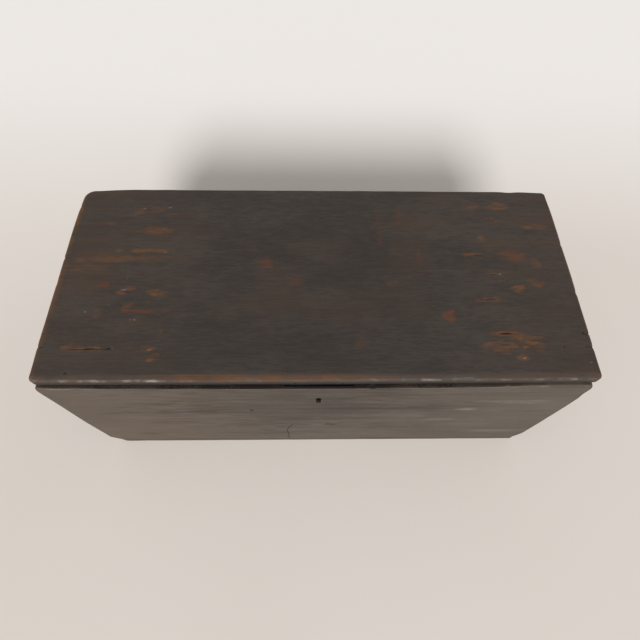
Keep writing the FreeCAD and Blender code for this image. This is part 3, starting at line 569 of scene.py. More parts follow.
def groove_depth(spots, grooves, seed):
    """Depth of wavering grooves in a plane, each given as a path, a half width and a depth."""
    depth = np.zeros(len(spots))
    for index, (path, half_width, deep) in enumerate(grooves):
        waver = [noise(spots, GROOVE_SIZE, seed + 2 * index + side) for side in range(2)]
        moved = spots + half_width * GROOVE_WAVER * np.stack(waver, 1)
        gap = np.full(len(spots), np.inf)
        for start, end in zip(np.array(path[:-1]), np.array(path[1:])):
            run = end - start
            share = np.clip((moved - start) @ run / (run @ run), 0, 1)
            gap = np.minimum(gap, np.linalg.norm(moved - start - share[:, None] * run, axis=1))
        depth = np.maximum(depth, deep * np.clip(1 - gap / half_width, 0, 1))
    return depth


def corners_of(node):
    """Lowest and highest corners of a node's box."""
    low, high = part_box(node)
    return np.array(low), np.array(high)


# Boards

def places(low, high, step, close=()):
    """Places ruled along one side of a board: closer near its ends and round each (place, reach) in close."""
    spans = [(low, low + EDGE_BAND), (high - EDGE_BAND, high)]
    spans += [(place - reach, place + reach) for place, reach in close]
    ruled = [np.linspace(low, high, math.ceil((high - low) / step) + 1)]
    for start, end in spans:
        ruled.append(np.linspace(start, end, math.ceil((end - start) / FINE_STEP) + 1))
    ruled = np.unique(np.clip(np.concatenate(ruled), low, high))
    kept = ruled[np.append(True, np.diff(ruled) > LEAST_STEP)]
    kept[-1] = high
    return kept


def box_skin(rulings):
    """Points and four-sided faces of a closed box that is ruled at the given places along X, Y and Z."""
    count = [len(ruling) for ruling in rulings]
    sheets = []
    for axis in range(3):
        u, v = [a for a in range(3) if a != axis]
        for end in (0, count[axis] - 1):
            index = [None, None, None]
            index[u], index[v] = np.meshgrid(np.arange(count[u]), np.arange(count[v]), indexing="ij")
            index[axis] = np.full_like(index[u], end)
            code = (index[0] * count[1] + index[1]) * count[2] + index[2]
            face = np.stack([code[:-1, :-1], code[1:, :-1], code[1:, 1:], code[:-1, 1:]], -1)
            face = face.reshape(-1, 4)
            inward = (end == 0) != (axis == 1)
            sheets.append(face[:, ::-1] if inward else face)
    codes, faces = np.unique(np.concatenate(sheets), return_inverse=True)
    points = np.stack([
        rulings[0][codes // (count[1] * count[2])],
        rulings[1][codes // count[2] % count[1]],
        rulings[2][codes % count[2]],
    ], 1)
    return points, faces.reshape(-1, 4)


def ruled_box(low, high, steps):
    """Points and faces of a box that is ruled by one step for each axis."""
    return box_skin([places(*side) for side in zip(low, high, steps)])


def soften(points, low, high, radius):
    """Rounds a box's edges, by a radius that may differ from point to point."""
    radius = np.broadcast_to(radius, len(points))[:, None]
    core = np.clip(points, low + radius, high - radius)
    away = points - core
    reach = np.maximum(np.linalg.norm(away, axis=1, keepdims=True), TINY)
    return core + away * radius / reach


def round_plan(points, low, high, across, radii):
    """Rounds a box's corners as seen along one axis. across names the other two axes, and radii gives the
    corners' radii by their two sides, -1 for low and 1 for high."""
    points = points.copy()
    u, v = across
    for (side_u, side_v), radius in radii.items():
        centre_u = (high[u] if side_u > 0 else low[u]) - side_u * radius
        centre_v = (high[v] if side_v > 0 else low[v]) - side_v * radius
        away_u = (points[:, u] - centre_u) * side_u
        away_v = (points[:, v] - centre_v) * side_v
        near = (away_u > 0) & (away_v > 0)
        share = np.maximum(away_u, away_v)[near] / np.hypot(away_u, away_v)[near]
        points[near, u] = centre_u + side_u * away_u[near] * share
        points[near, v] = centre_v + side_v * away_v[near] * share
    return points


def wear_corner(points, low, high, side, strength=1.0):
    """Draws one end of a front board in towards its lower corner, along a slope."""
    width, height = WORN_CORNERS[side]
    over = low[2] + height - points[:, 2]
    slope = (over + np.hypot(over, WORN_CORNER_SOFT)) / 2 / height
    end = high[0] if side > 0 else low[0]
    share = np.clip(1 - np.abs(points[:, 0] - end) / WORN_CORNER_REACH, 0, 1)
    points[:, 0] -= side * width * slope * share * strength


def bow_end(points, low, high, side, strength=1.0):
    """Moves one end of a front board out or in by its height."""
    heights, reaches = np.array(END_BOWS[side]).T
    end = high[0] if side > 0 else low[0]
    share = np.clip(1 - np.abs(points[:, 0] - end) / WORN_CORNER_REACH, 0, 1)
    points[:, 0] += side * np.interp(points[:, 2], heights, reaches) * share * strength


def new_piece(name, points, faces):
    """An object made of points and faces, in the scene."""
    mesh = bpy.data.meshes.new(name)
    mesh.from_pydata(np.asarray(points).tolist(), [], [list(face) for face in faces])
    piece = bpy.data.objects.new(name, mesh)
    bpy.context.scene.collection.objects.link(piece)
    return piece


def points_of(piece):
    """A piece's points, one in each row."""
    flat = np.empty(len(piece.data.vertices) * 3)
    piece.data.vertices.foreach_get("co", flat)
    return flat.reshape(-1, 3)


def carve(piece, node, low_margin, high_margin):
    """Cuts a worn board to its node's inner faces, with their gains, holes and mortise. The node's outer
    faces, within the margins, are pushed out of the way first, so that the worn faces stay."""
    low, high = corners_of(node)
    shape = bmesh.new()
    shape.from_mesh(nodes[node].data)
    bmesh.ops.remove_doubles(shape, verts=shape.verts, dist=WELD)
    for vertex in shape.verts:
        for axis in range(3):
            if vertex.co[axis] < low[axis] + low_margin[axis]:
                vertex.co[axis] -= PUSH
            if vertex.co[axis] > high[axis] - high_margin[axis]:
                vertex.co[axis] += PUSH
    cutter_mesh = bpy.data.meshes.new(node + "_cutter")
    shape.to_mesh(cutter_mesh)
    shape.free()
    cutter = bpy.data.objects.new(node + "_cutter", cutter_mesh)
    bpy.context.scene.collection.objects.link(cutter)
    cut = piece.modifiers.new("carve", "BOOLEAN")
    cut.operation = "INTERSECT"
    cut.solver = "MANIFOLD"
    cut.object = cutter
    graph = bpy.context.evaluated_depsgraph_get()
    carved = bpy.data.meshes.new_from_object(piece.evaluated_get(graph))
    piece.modifiers.clear()
    piece.data = carved
    carved.name = piece.name
    bpy.data.objects.remove(cutter)


def finish_piece(piece, body, node, material, masks, angle=SHARP_ANGLE):
    """Shades a piece, writes its masks, gives it its material, ties it to its body and hides its node."""
    mesh = piece.data
    mesh.set_sharp_from_angle(angle=angle)
    for polygon in mesh.polygons:
        polygon.use_smooth = max(abs(part) for part in polygon.normal) < FLAT_NORMAL
    for name, values in masks.items():
        attribute = mesh.attributes.new(name, "FLOAT", "POINT")
        attribute.data.foreach_set("value", np.asarray(values, np.float32))
    mesh.materials.clear()
    mesh.materials.append(material)
    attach(piece, body)
    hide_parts(node)
    return piece


# Node materials

# Sockets of a node that mixes two colours
MIX_SHARE = 0
MIX_FIRST = 6
MIX_SECOND = 7
MIX_RESULT = 2


class Look:
    """A node material under construction."""

    def __init__(self, name):
        self.material = bpy.data.materials.new(name)
        self.material.use_nodes = True
        self.tree = self.material.node_tree
        self.shader = self.tree.nodes["Principled BSDF"]
        self.place = self.add("TexCoord").outputs["Object"]

    def add(self, kind, inputs=None, **settings):
        """A new node, with its inputs and settings."""
        made = self.tree.nodes.new("ShaderNode" + kind)
        for key, value in settings.items():
            setattr(made, key, value)
        for key, value in (inputs or {}).items():
            self.put(made.inputs[key], value)
        return made

    def put(self, socket, value):
        """Links a socket to another, or sets it to a constant."""
        if isinstance(value, bpy.types.NodeSocket):
            self.tree.links.new(value, socket)
        else:
            socket.default_value = value

    def mask(self, name):
        """One of the masks that are written on the piece's points."""
        return self.add("Attribute", attribute_name=name).outputs["Fac"]

    def noise(self, scale, detail=3.0, roughness=0.55, distortion=0.0, offset=(0, 0, 0)):
        """Noise that repeats about scale times in a metre, one number for each axis."""
        place = self.add("Mapping", {"Vector": self.place, "Location": offset, "Scale": scale})
        made = self.add("TexNoise", {
            "Vector": place.outputs["Vector"], "Scale": 1.0, "Detail": detail,
            "Roughness": roughness, "Distortion": distortion,
        })
        return made.outputs["Fac"]

    def math(self, operation, first, second, clamp=False):
        made = self.add("Math", {0: first, 1: second}, operation=operation, use_clamp=clamp)
        return made.outputs["Value"]

    def span(self, value, start, end, low=0.0, high=1.0, way="SMOOTHSTEP"):
        """low where the value is at start, high where it is at end."""
        made = self.add("MapRange", {
            "Value": value, "From Min": start, "From Max": end, "To Min": low, "To Max": high,
        }, interpolation_type=way)
        return made.outputs["Result"]

    def spread(self, mask, *ragged):
        """An uneven mask: each noise comes with the share by which it raises and lowers it."""
        total = self.mask(mask)
        for value, share in ragged:
            total = self.math("MULTIPLY", total, self.span(value, 0.3, 0.7, 1 - share, 1 + share))
        return total

    def mix(self, share, first, second):
        """The first colour, with a share of the second."""
        made = self.add("Mix", data_type="RGBA")
        self.put(made.inputs[MIX_SHARE], share)
        self.put(made.inputs[MIX_FIRST], first)
        self.put(made.inputs[MIX_SECOND], second)
        return made.outputs[MIX_RESULT]

    def ramp(self, value, stops):
        """Colours by value, between stops that each have a place and a colour."""
        made = self.add("ValToRGB", {"Fac": value})
        band = made.color_ramp
        while len(band.elements) < len(stops):
            band.elements.new(0.5)
        for element, (place, colour) in zip(band.elements, stops):
            element.position = place
            element.color = colour
        return made.outputs["Color"]

    def bump(self, height, strength, distance, below=None):
        """Relief in the shading, over the relief below it."""
        inputs = {"Height": height, "Strength": strength, "Distance": distance}
        if below is not None:
            inputs["Normal"] = below
        return self.add("Bump", inputs).outputs["Normal"]

    def finish(self, **inputs):
        """Puts values in the shader's sockets, and gives the material."""
        for key, value in inputs.items():
            self.put(self.shader.inputs[key.replace("_", " ")], value)
        return self.material


def along(grain, fine, coarse):
    """A scale that is coarse along the grain's axis and fine across it."""
    return tuple(coarse if axis == grain else fine for axis in range(3))


def bare_wood(look, grain, pale, dark):
    """Colour of old unpainted softwood: bands of growth rings, fine pores and a few blotches."""
    rings = look.noise(along(grain, 90, 2.5), 4, 0.6, 0.6)
    pores = look.noise(along(grain, 900, 14), 2, 0.5)
    blotch = look.noise(along(grain, 14, 5), 3, 0.6, offset=(3, 1, 2))
    colour = look.ramp(rings, ((0.30, dark), (0.52, pale), (0.70, dark)))
    colour = look.mix(look.span(pores, 0.55, 0.75, 0.0, 0.5), colour, dark)
    return look.mix(look.span(blotch, 0.45, 0.75, 0.0, 0.55), colour, dark)


ALONG_X = 0
ALONG_Y = 1
PAINT_GLOSS = 0.32
WOOD_IOR = 1.45
# Dark colour for dirt, and for painted shade in hollows and under the lid
GRIME_AND_SHADE = (0.0085, 0.0058, 0.0048, 1)
WOOD_GRIME = (0.03, 0.022, 0.017, 1)


def painted_wood(name, grain, colours, grain_share, dash_share, roughness):
    """Thin old paint over wood. Masks say where it is worn to brown, stained orange or red, rubbed pale or
    given painted highlights, polished, soiled or given painted shade, or left bare."""
    look = Look(name)
    cloud = look.noise(along(grain, 20, 8), 4, 0.6)
    band = look.noise(along(grain, 70, 2.2), 3, 0.55, 0.4, offset=(2, 5, 3))
    streak = look.noise(along(grain, 330, 6), 4, 0.6, 0.3)
    speck = look.noise((650, 650, 650), 3, 0.6)
    fibre = look.noise(along(grain, 1500, 22), 2, 0.5)
    dash = look.noise(along(grain, 330, 55), 4, 0.65, offset=(7, 3, 1))

    colour = look.mix(look.span(cloud, 0.36, 0.66), colours["paint"], colours["paint_light"])
    colour = look.mix(look.span(band, 0.50, 0.72, 0.0, 1.4 * grain_share), colour, colours["paint_dark"])
    colour = look.mix(look.span(streak, 0.50, 0.70, 0.0, grain_share), colour, colours["worn"])
    colour = look.mix(look.span(streak, 0.46, 0.28, 0.0, grain_share), colour, colours["paint_dark"])
    colour = look.mix(look.span(dash, 0.42, 0.64, 0.0, dash_share), colour, colours["paint_dark"])
    colour = look.mix(look.span(dash, 0.48, 0.32, 0.0, dash_share), colour, colours["paint_light"])
    colour = look.mix(look.span(speck, 0.58, 0.74, 0.0, 0.10), colour, colours["pale"])

    tint = look.mix(look.span(fibre, 0.35, 0.7, 0.0, 0.35), colours["worn"], colours["orange"])
    brown = look.spread("brown", (band, 0.5), (streak, 0.4), (dash, 0.4))
    colour = look.mix(look.span(brown, 0.0, 1.0, 0.0, 0.85, "LINEAR"), colour, tint)
    for mask in ("orange", "red"):
        share = look.spread(mask, (speck, 0.35), (streak, 0.4), (dash, 0.5))
        colour = look.mix(look.span(share, 0.03, 1.0, 0.0, 0.85, "LINEAR"), colour, colours[mask])
    # The pale mask brings rubbed wood, flecks and scuffs, and painted highlights along the arrises
    rubbed_and_highlight = look.spread("pale", (speck, 0.4), (streak, 0.2))
    colour = look.mix(look.span(rubbed_and_highlight, 0.10, 1.0, 0.0, 0.9, "LINEAR"), colour, colours["pale"])

    wood = bare_wood(look, grain, colours["bare"], colours["bare_dark"])
    colour = look.mix(look.span(look.spread("bare", (streak, 0.12)), 0.35, 0.65), colour, wood)
    # The soil mask brings dirt, and painted shade in hollows and under the lid
    soil_and_shade = look.span(look.spread("soil_and_shade", (speck, 0.25)), 0.04, 0.90, 0.0, 1.0, "LINEAR")
    colour = look.mix(soil_and_shade, colour, GRIME_AND_SHADE)

    gloss = look.span(cloud, 0.3, 0.7, roughness - 0.06, roughness + 0.08)
    gloss = look.math("ADD", gloss, look.span(brown, 0.3, 0.9, 0.0, 0.06))
    gloss = look.math("SUBTRACT", gloss, look.math("MULTIPLY", look.mask("polish"), 0.24))
    gloss = look.math("ADD", gloss, look.math("MULTIPLY", soil_and_shade, 0.40))
    gloss = look.math("ADD", gloss, look.math("MULTIPLY", look.mask("bare"), 0.12), clamp=True)
    relief = look.bump(streak, 0.30, 0.0006)
    relief = look.bump(fibre, 0.25, 0.0003, relief)
    relief = look.bump(speck, 0.15, 0.0004, relief)
    return look.finish(Base_Color=colour, Roughness=gloss, Normal=relief, Specular_IOR_Level=PAINT_GLOSS)


def plain_wood(name, grain, pale, dark, roughness):
    """Sawn wood that was never painted, with dirt where its mask says and in blotches."""
    look = Look(name)
    colour = bare_wood(look, grain, pale, dark)
    saw = look.noise(along(grain, 60, 420), 2, 0.5)
    pores = look.noise(along(grain, 1100, 18), 3, 0.6)
    dirt = look.noise((22, 22, 22), 4, 0.65, offset=(5, 2, 7))
    soil_and_shade = look.math("ADD", look.mask("soil_and_shade"), look.span(dirt, 0.35, 0.7, -0.2, 0.35))
    colour = look.mix(look.span(soil_and_shade, 0.1, 0.9, 0.0, 0.85), colour, WOOD_GRIME)
    gloss = look.span(dirt, 0.3, 0.7, roughness - 0.08, roughness + 0.08)
    relief = look.bump(pores, 0.4, 0.0005)
    relief = look.bump(saw, 0.15, 0.0004, relief)
    return look.finish(Base_Color=colour, Roughness=gloss, Normal=relief, IOR=WOOD_IOR)


RUST = (0.150, 0.052, 0.020, 1)
DARK_RUST = (0.068, 0.024, 0.009, 1)
DIRT_AND_SHADE_FADE = 0.004


def old_iron(name, dark, light, rust_share, metallic, roughness, dirt_and_shade_height=None):
    """Hammered iron, with rust in patches that are rougher than the rest, and dirt with painted shade above a
    height.
    """
    look = Look(name)
    scale = look.noise((260, 260, 260), 4, 0.6)
    grime = look.noise((60, 60, 60), 5, 0.65, offset=(4, 8, 1))
    pit = look.noise((1400, 1400, 1400), 2, 0.6)
    colour = look.mix(look.span(scale, 0.35, 0.68), dark, light)
    edge = 0.72 - 0.4 * rust_share
    patch = look.math("ADD", grime, look.span(pit, 0.3, 0.7, -0.06, 0.06))
    patch = look.span(patch, edge - 0.06, edge + 0.1)
    colour = look.mix(patch, colour, look.mix(look.span(pit, 0.35, 0.65), RUST, DARK_RUST))
    gloss = look.span(scale, 0.3, 0.7, roughness - 0.08, roughness + 0.1)
    gloss = look.math("ADD", gloss, look.math("MULTIPLY", patch, 0.25), clamp=True)
    shine = look.span(patch, 0.0, 1.0, metallic, 0.1)
    # Painted shade with dirt: darker above a height, under the lid
    if dirt_and_shade_height is not None:
        height = look.add("SeparateXYZ", {"Vector": look.place}).outputs["Z"]
        dirt = look.span(height, dirt_and_shade_height - DIRT_AND_SHADE_FADE, dirt_and_shade_height)
        colour = look.mix(dirt, colour, GRIME_AND_SHADE)
        gloss = look.math("ADD", gloss, dirt, clamp=True)
        shine = look.math("SUBTRACT", shine, dirt, clamp=True)
    relief = look.bump(scale, 0.3, 0.0005)
    relief = look.bump(pit, 0.25, 0.0002, relief)
    return look.finish(Base_Color=colour, Roughness=gloss, Metallic=shine, Normal=relief)


# The pale colours serve flecks, scuffs and rubbed wood, and also painted highlights along the arrises
LID_COLOURS = {
    "paint": (0.0415, 0.0325, 0.0275, 1), "paint_light": (0.0550, 0.0435, 0.0365, 1),
    "paint_dark": (0.0330, 0.0255, 0.0220, 1), "worn": (0.085, 0.049, 0.026, 1),
    "orange": (0.185, 0.070, 0.020, 1), "red": (0.125, 0.030, 0.016, 1), "pale": (0.290, 0.255, 0.230, 1),
    "bare": (0.235, 0.150, 0.080, 1), "bare_dark": (0.120, 0.070, 0.036, 1),
}
WALL_COLOURS = {
    "paint": (0.060, 0.0463, 0.0362, 1), "paint_light": (0.096, 0.0778, 0.0630, 1),
    "paint_dark": (0.040, 0.028, 0.021, 1), "worn": (0.105, 0.072, 0.048, 1),
    "orange": (0.180, 0.085, 0.036, 1), "red": (0.120, 0.040, 0.024, 1), "pale": (0.270, 0.232, 0.188, 1),
    "bare": (0.225, 0.145, 0.080, 1), "bare_dark": (0.110, 0.066, 0.035, 1),
}
LID_PAINT = painted_wood(
    "lid_paint_worn", ALONG_X, LID_COLOURS, grain_share=0.08, dash_share=0.60, roughness=0.58)
WALL_PAINT_LONG, WALL_PAINT_END = [
    painted_wood(name, grain, WALL_COLOURS, grain_share=0.34, dash_share=0.18, roughness=0.56)
    for name, grain in (("wall_paint_long_grain", ALONG_X), ("wall_paint_end_boards", ALONG_Y))
]
BATTEN_WOOD = plain_wood(
    "batten_wood_aged", ALONG_Y, pale=(0.270, 0.175, 0.095, 1), dark=(0.130, 0.078, 0.041, 1), roughness=0.66)

# Irons: dark and light colours, share of rust, metallic, roughness, and the height where dirt and painted
# shade start
LOCK_DIRT_AND_SHADE_HEIGHT = 0.297
IRONS = {
    "wall_nails_painted": (WALL_COLOURS["paint_dark"], WALL_COLOURS["paint"], 0.25, 0.0, 0.58),
    "lid_nails_painted": (LID_COLOURS["paint_dark"], LID_COLOURS["paint_light"], 0.35, 0.0, 0.58),
    "nail_iron_rusty": ((0.045, 0.036, 0.031, 1), (0.075, 0.058, 0.047, 1), 0.55, 0.35, 0.55),
    "hinge_iron_forged": ((0.060, 0.052, 0.047, 1), (0.110, 0.096, 0.084, 1), 0.5, 0.75, 0.46),
    "screw_iron_worn": ((0.085, 0.073, 0.063, 1), (0.165, 0.145, 0.122, 1), 0.4, 0.8, 0.42),
    "lock_iron_dirt_and_shade": (
        (0.080, 0.070, 0.061, 1), (0.150, 0.132, 0.113, 1), 0.45, 0.8, 0.44, LOCK_DIRT_AND_SHADE_HEIGHT),
    "spring_steel_blued": ((0.130, 0.135, 0.150, 1), (0.260, 0.255, 0.250, 1), 0.2, 0.9, 0.32),
}
IRON = {name: old_iron(name, *values) for name, values in IRONS.items()}


# The lid

def lid_inset(points, low, high):
    """How far each point lies inside the lid's outline, and the outline's outward direction beside it."""
    middle = (low + high)[:2] / 2
    half = (high - low)[:2] / 2
    side = np.where(points[:, :2] < middle, -1.0, 1.0)
    gap = half - np.abs(points[:, :2] - middle)
    inset = gap.min(axis=1)
    outward = np.where(np.argmin(gap, axis=1)[:, None] == np.arange(2), side, 0.0)
    for (side_x, side_y), radius in LID_CORNERS.items():
        centre = middle + np.array([side_x, side_y]) * (half - radius)
        away = (points[:, :2] - centre) * np.array([side_x, side_y])
        near = (away > 0).all(axis=1)
        reach = np.maximum(np.hypot(away[near, 0], away[near, 1]), TINY)
        inset[near] = radius - reach
        outward[near] = away[near] / reach[:, None] * np.array([side_x, side_y])
    return inset, outward


def slit_depth(points, slits):
    """Depth of the splits at each point: a narrow groove that wavers along the grain."""
    depth = np.zeros(len(points))
    for index, (x, y, half, deep) in enumerate(slits):
        waver = SLIT_WAVER * noise(points[:, :1], SLIT_WAVER_SIZE, SLIT_SEED + index)
        across = np.abs(points[:, 1] - y - waver)
        length = np.clip(1 - ((points[:, 0] - x) / half) ** 2, 0, 1)
        depth = np.maximum(depth, deep * length ** 0.5 * np.clip(1 - across / SLIT_HALF_WIDTH, 0, 1))
    return depth


def front_bulge(x, high):
    """How far the lid's front edge stands forward of a straight line."""
    return LID_FRONT_BULGE * np.clip(1 - (x / high[0]) ** 2, 0, 1)


def lid_hollow(spots):
    """How far the lid's top lies below a flat one."""
    return LID_HOLLOW * (1 + noise(spots, *LID_HOLLOW_WAVES)) / 2 + FLUSH


def round_rim(inset, z, radius, upper, low, high):
    """Insets and heights of the lid's points after its rim is rounded, by a radius for each point."""
    core_inset = np.maximum(inset, radius)
    core_z = np.where(upper, np.minimum(z, high[2] - radius), np.maximum(z, low[2] + radius))
    away_inset = inset - core_inset
    away_z = z - core_z
    away = np.hypot(away_inset, away_z)
    share = radius / np.maximum(away, TINY)
    bent = away > TINY
    return np.where(bent, core_inset + away_inset * share, inset), np.where(bent, core_z + away_z * share, z)


def worn_lid():
    """The lid: rounded and worn at its edges, split on top, and cut to its node below."""
    low, high = corners_of("lid_board")
    middle = (low + high) / 2
    slit_rows = [(y, SLIT_HALF_WIDTH * 2) for _, y, _, _ in LID_SLITS]
    points, faces = box_skin([
        places(low[0], high[0], LID_STEP),
        places(low[1], high[1], LID_STEP, slit_rows),
        np.linspace(low[2], high[2], math.ceil((high[2] - low[2]) / THICKNESS_STEP) + 1),
    ])
    points = round_plan(points, low, high, (0, 1), LID_CORNERS)
    inset, outward = lid_inset(points, low, high)

    # The edges: rounded above and less so below, and at the front a slope down to a tighter arris
    upper = points[:, 2] > middle[2]
    wear = noise(points[:, :2], *LID_WEAR_WAVES)
    nosing = np.clip(-outward[:, 1], 0, 1)
    top_radius = LID_TOP_RADIUS + (LID_NOSING_RADIUS - LID_TOP_RADIUS) * nosing
    top_radius += LID_TOP_RADIUS * LID_TOP_SPREAD * wear * (1 - nosing / 2)
    radius = np.where(upper, top_radius, LID_UNDER_RADIUS + LID_UNDER_SPREAD * wear)
    new_inset, z = round_rim(inset, points[:, 2], radius, upper, low, high)
    points[:, :2] += outward * (inset - new_inset)[:, None]
    slope = np.clip(1 - new_inset / LID_NOSING_REACH, 0, 1) ** LID_NOSING_CURVE
    slope *= 1 + LID_NOSING_SPREAD * wear
    points[:, 2] = z - LID_NOSING_DROP * nosing * slope * smooth(z, middle[2], high[2])

    # The outline wanders, tapers and has nicks
    rim = np.clip(1 - inset / LID_RIM, 0, 1)
    lumps = LID_LUMPS * noise(points, *LID_LUMP_WAVES) * np.clip(1 - inset / EDGE_BAND, 0, 1)
    shift = LID_WANDER * (1 + noise(points[:, :2], *LID_OUTLINE_WAVES)) / 2 + np.abs(lumps)
    for x, y, reach, deep in LID_NICKS:
        shift += deep * np.exp(-((points[:, 0] - x) ** 2 + (points[:, 1] - y) ** 2) / reach ** 2)
    shift *= 1 - nosing * np.exp(-((np.abs(points[:, 0]) - LINK_SCREW_X) / LINK_SCREW_ROOM) ** 2)
    points[:, :2] -= outward * (rim * shift)[:, None]
    share_x = (points[:, 0] - low[0]) / (high[0] - low[0])
    back = smooth(points[:, 1], middle[1], high[1])
    front = smooth(points[:, 1], middle[1], low[1])
    points[:, 1] -= LID_BACK_TAPER * share_x * back
    points[:, 1] += (LID_FRONT_TAPER * (2 * share_x - 1) - front_bulge(points[:, 0], high)) * front

    # The top is a little hollow, and split along the grain; the underside is cut later
    drop = lid_hollow(points[:, :2]) + LID_GRAIN_RELIEF * (1 + noise(points[:, :2], *LID_GRAIN_WAVES))
    drop += slit_depth(points, LID_SLITS)
    points[:, 2] -= np.where(upper, drop * smooth(points[:, 2], middle[2], high[2] - LID_TOP_BLEND), 0)
    ends = slit_depth(points, [slit for slit in LID_SLITS if abs(slit[0]) > high[0] - SLIT_END_ROOM])
    points[:, 0] -= np.sign(points[:, 0]) * SLIT_END_SHARE * ends * (inset < SLIT_END_BAND)
    points[:, 2] -= np.where(upper, 0, OVERSHOOT * smooth(inset, *OVERSHOOT_BAND))

    piece = new_piece("lid_board_worn", points, faces)
    carve(
        piece, "lid_board",
        (ROUND_MARGIN, ROUND_MARGIN, NO_MARGIN), (ROUND_MARGIN, ROUND_MARGIN, LID_TOP_MARGIN))
    masks = lid_masks(points_of(piece), low, high)
    return finish_piece(piece, "lid", "lid_board", LID_PAINT, masks)


def lid_masks(points, low, high):
    """Masks of the lid: its stains, its rubbed ends and edges, the nosing with its painted highlights, and
    dirt and painted shade.
    """
    x, y, z = points.T
    flat = points[:, :2]
    height = z - low[2]
    drop = high[2] - z
    inset, outward = lid_inset(points, low, high)
    above = smooth(inset, *LID_RIM_PAINT_INSET) * smooth(height, *LID_RIM_PAINT_HEIGHT)
    above = np.maximum(above, smooth(height, *LID_PAINT_HEIGHT))
    ragged = STAIN_RAGGED * noise(flat, *LID_STAIN_WAVES)
    cover = np.clip(blend(STAIN_COVER, noise(flat, *LID_COVER_WAVES)), *STAIN_COVER_RANGE)
    brown, orange, red = [
        cover * spots_mask(x, y, [stain[:4] + (stain[place],) for stain in LID_STAINS], ragged)
        for place in (4, 5, 6)
    ]

    # The ends have been handled and rubbed most, and the edges more at the left
    streaks = noise(flat, *LID_STREAK_WAVES)
    for side, (reach, strength) in LID_END_RUBS.items():
        end = high[0] if side > 0 else low[0]
        brown += np.clip(smooth(x, end - side * reach, end) * blend(strength, streaks), 0, 1)
    brown += LID_BLOTCH * np.clip(noise(flat, *LID_BLOTCH_WAVES), 0, 1)
    rub = noise(flat, *LID_RUB_WAVES)
    front = smooth(outward[:, 1], *FRONTWARD)
    edge = (1 - front) * smooth(inset, *LID_EDGE_INSET) * smooth(drop, *LID_EDGE_DROP)
    left = smooth(inset, *LID_LEFT_INSET) * smooth(-outward[:, 0], *LEFTWARD)
    brown += edge * level(EDGE_BROWN, rub) + left * level(LEFT_BROWN, rub)
    orange += edge * level(EDGE_ORANGE, rub) + left * level(LEFT_ORANGE, rub)

    # The nosing: worn to orange wood on its slope, with a polished, broken arris, painted pale as rubbed wood
    # and as painted highlight
    reach = y - low[1] + front_bulge(x, high)
    slope = front * smooth(reach, *NOSING_SLOPE_REACH) * smooth(drop, *NOSING_SLOPE_DROP)
    handled = smooth(x, *HANDLED_FROM) * smooth(x, *HANDLED_TO)
    rightward = smooth(x, *RIGHTWARD_FROM)
    orange += slope * np.clip(blend(NOSING_ORANGE, handled) * blend(NOSING_ORANGE_SPREAD, rub), 0, 1)
    brown += slope * blend(NOSING_BROWN, handled, rub)
    broken = noise(flat, *LID_BREAK_WAVES)
    grit = noise(flat, *LID_GRIT_WAVES)
    arris = front * smooth(np.abs(drop - NOSING_ARRIS_DROP), *NOSING_ARRIS_BAND)
    rubs_and_highlights = spots_mask(x, 0 * x, [(place, 0, half, 1, strength) for place, half, strength in NOSING_RUBS_AND_HIGHLIGHTS])
    # Painted highlight: the arris is painted pale, along with its rubbed wood
    pale = arris * level(NOSING_PALE_AND_HIGHLIGHT, rubs_and_highlights * (1 + broken), broken, grit)
    pale *= blend(NOSING_PALE_AND_HIGHLIGHT_KEPT, handled, rightward)
    pale += FLECK_PALE * spots_mask(x, y, [fleck + (1.0,) for fleck in LID_FLECKS])
    polish = front * smooth(reach, *NOSING_POLISH_REACH) * above * level(NOSING_POLISH, rubs_and_highlights, broken)
    polish *= blend(NOSING_POLISH_KEPT, handled, rightward)

    # Dirt and painted shade in the splits and pits, dirt on the lid's middle and on the slope, and painted
    # shade on the front face under the arris
    soil_and_shade = SLIT_DIRT_AND_SHADE * smooth(slit_depth(points, LID_SLITS), *SLIT_DIRT_AND_SHADE_DEPTH) * above
    soil_and_shade += PIT_DIRT_AND_SHADE * spots_mask(x, y, [pit + (1.0,) for pit in LID_PITS])
    grime = smooth(np.abs(x - LID_GRIME_X), *LID_GRIME_REACH) * smooth(inset, *LID_GRIME_INSET)
    soil_and_shade += grime * blend(LID_GRIME, y - low[1] - LID_GRIME_Y)
    soil_and_shade += slope * blend(NOSING_SOIL, handled)
    soil_and_shade += NOSING_FOOT_PAINTED_SHADE * front * smooth(drop, *NOSING_FOOT_DROP) * above
    return {
        "brown": brown * above, "orange": orange * above, "red": red * above, "pale": pale * above,
        "bare": 1 - above, "polish": polish, "soil_and_shade": soil_and_shade * above,
    }


# The box

def wall_sag(x, z, node):
    """How far a long wall's outside lies behind its flat face, which is least at its ends."""
    _, high = corners_of(node)
    hollow = WALL_HOLLOW * (1 + noise(np.stack([x, z], 1), SAG_SIZE, SEEDS[node] + SAG_SEED, 2)) / 2
    return hollow * np.clip(1 - (x / high[0]) ** 4, 0, 1) + FLUSH


def wall_masks(points, outer, node):
    """Masks that walls and bottom share: outer says how far each point is on the painted outside."""
    low, _ = corners_of(node)
    rub = noise(points, RUB_SIZE, SEEDS[node] + RUB_SEED, 3)
    foot = smooth(points[:, 2] - low[2], *WALL_FOOT)
    none = np.zeros(len(points))
    return {
        "brown": level(WALL_BROWN, rub, foot * (1 + rub)) * outer, "orange": none, "red": none,
        "pale": none, "bare": 1 - outer, "polish": none, "soil_and_shade": none,
    }


